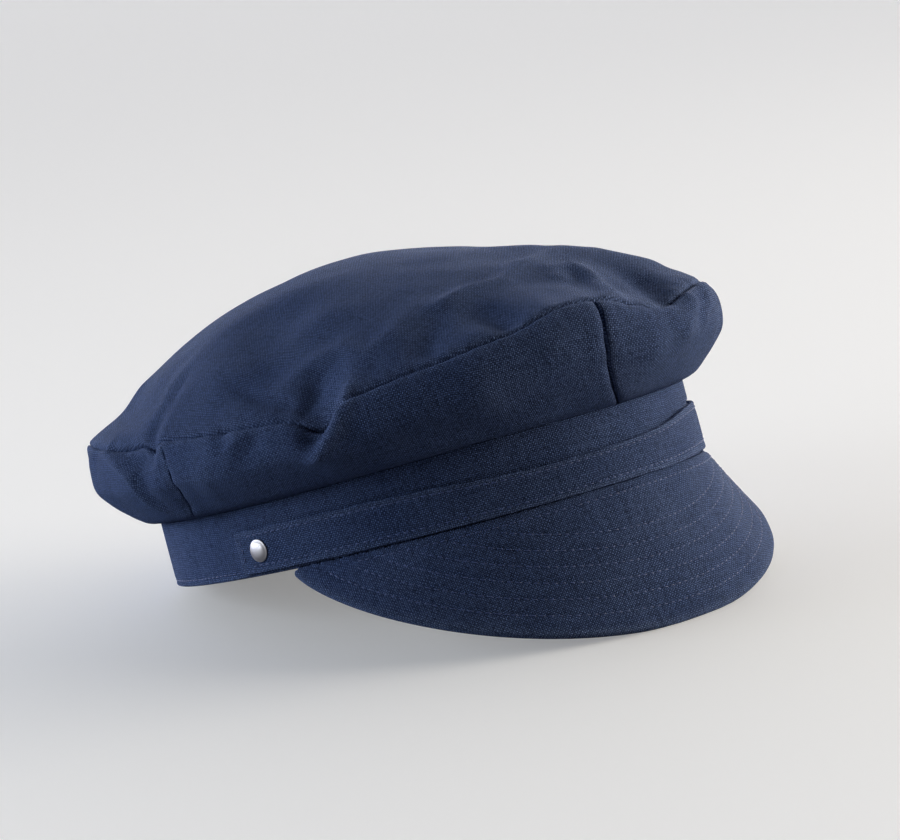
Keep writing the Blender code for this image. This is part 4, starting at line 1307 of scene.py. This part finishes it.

# %% [markdown]
# ## Floor, light and air
#
# The cap lies on a plain pale table in a white studio. White walls behind it and at both sides
# throw soft light on its flanks, and the side towards the camera stays darker, which models the
# folds. The world does most of that: it is brighter behind than in front, and dim overhead. Two
# soft lamps, a stronger one on the right and a weaker one on the left, add the key light.

# %% The table
floor_mesh = bpy.data.meshes.new("table")
reach_out = 8.0
floor_mesh.from_pydata([(-reach_out, -reach_out, 0), (reach_out, -reach_out, 0),
                        (reach_out, reach_out, 0), (-reach_out, reach_out, 0)], [], [(0, 1, 2, 3)])
table = bpy.data.objects.new("table", floor_mesh)
table.location.z = -0.0001
bpy.context.scene.collection.objects.link(table)
paint, tree, shader = new_material("matt_white_paint")
sight = add(tree, "ShaderNodeLightPath").outputs["Is Camera Ray"]
tone = add(tree, "ShaderNodeMix", {0: sight, 6: linear("#8a8a8c"), 7: linear("#e6e6e8")}, data_type="RGBA")
tree.links.new(tone.outputs[2], shader.inputs["Base Color"])
tree.links.new(add(tree, "ShaderNodeMath", {0: sight, 1: 0.24}, operation="MULTIPLY").outputs[0],
               shader.inputs["Emission Strength"])
shader.inputs["Roughness"].default_value = 0.9
shader.inputs["Emission Color"].default_value = (1.0, 1.0, 1.0, 1.0)
floor_mesh.materials.append(paint)

# %% The light
world = bpy.data.worlds.new("white_studio")
bpy.context.scene.world = world
world.use_nodes = True
tree = world.node_tree
back = tree.nodes["Background"]
behind = lean_back(-toward)
way = add(tree, "ShaderNodeTexCoord").outputs["Generated"]
depth = add(tree, "ShaderNodeVectorMath", {0: way, 1: tuple(behind)}, operation="DOT_PRODUCT")
glow = add(tree, "ShaderNodeMapRange", {0: depth.outputs["Value"], 1: -0.3, 2: 0.3, 3: 0.2, 4: 9.4})
rise = add(tree, "ShaderNodeSeparateXYZ", {0: way}).outputs["Z"]
wall = add(tree, "ShaderNodeMapRange", {0: rise, 1: 0.0, 2: 0.48, 3: 1.0, 4: 0.04})
glow = add(tree, "ShaderNodeMath", {0: glow.outputs[0], 1: wall.outputs[0]}, operation="MULTIPLY")
sight = add(tree, "ShaderNodeLightPath").outputs["Is Camera Ray"]
seen = add(tree, "ShaderNodeMix", {0: sight, 2: glow.outputs[0], 3: 1.0})
aside_light = add(tree, "ShaderNodeVectorMath", {0: way, 1: tuple(lean_back(level))}, operation="DOT_PRODUCT")
warmth = add(tree, "ShaderNodeMapRange", {0: aside_light.outputs["Value"], 1: -0.9, 2: 0.9})
tint = add(tree, "ShaderNodeMix", {0: warmth.outputs[0], 6: (0.58, 0.65, 0.8, 1.0), 7: (1.1, 1.03, 0.92, 1.0)},
           data_type="RGBA")
shown = add(tree, "ShaderNodeMix", {0: sight, 6: tint.outputs[2], 7: (1.0, 1.0, 1.0, 1.0)}, data_type="RGBA")
tree.links.new(seen.outputs[0], back.inputs["Strength"])
tree.links.new(shown.outputs[2], back.inputs["Color"])



def softbox(name, place, energy, colour, width, height):
    """A rectangular soft lamp that looks at the cap."""
    data = bpy.data.lights.new(name, "AREA")
    data.shape = "RECTANGLE"
    data.size, data.size_y = width, height
    data.energy, data.color = energy, colour
    lamp = bpy.data.objects.new(name, data)
    lamp.location = place
    lamp.rotation_euler = (Vector((0, 0, 0.05)) - lamp.location).to_track_quat("-Z", "Y").to_euler()
    bpy.context.scene.collection.objects.link(lamp)


softbox("right_softbox", (1.35, -1.15, 0.55), 22.0, (1.0, 0.93, 0.8), 1.6, 0.9)
softbox("left_softbox", (-1.35, 0.66, 0.45), 9.5, (0.87, 0.95, 1.0), 1.2, 0.8)
bpy.context.scene.view_settings.view_transform = "Standard"
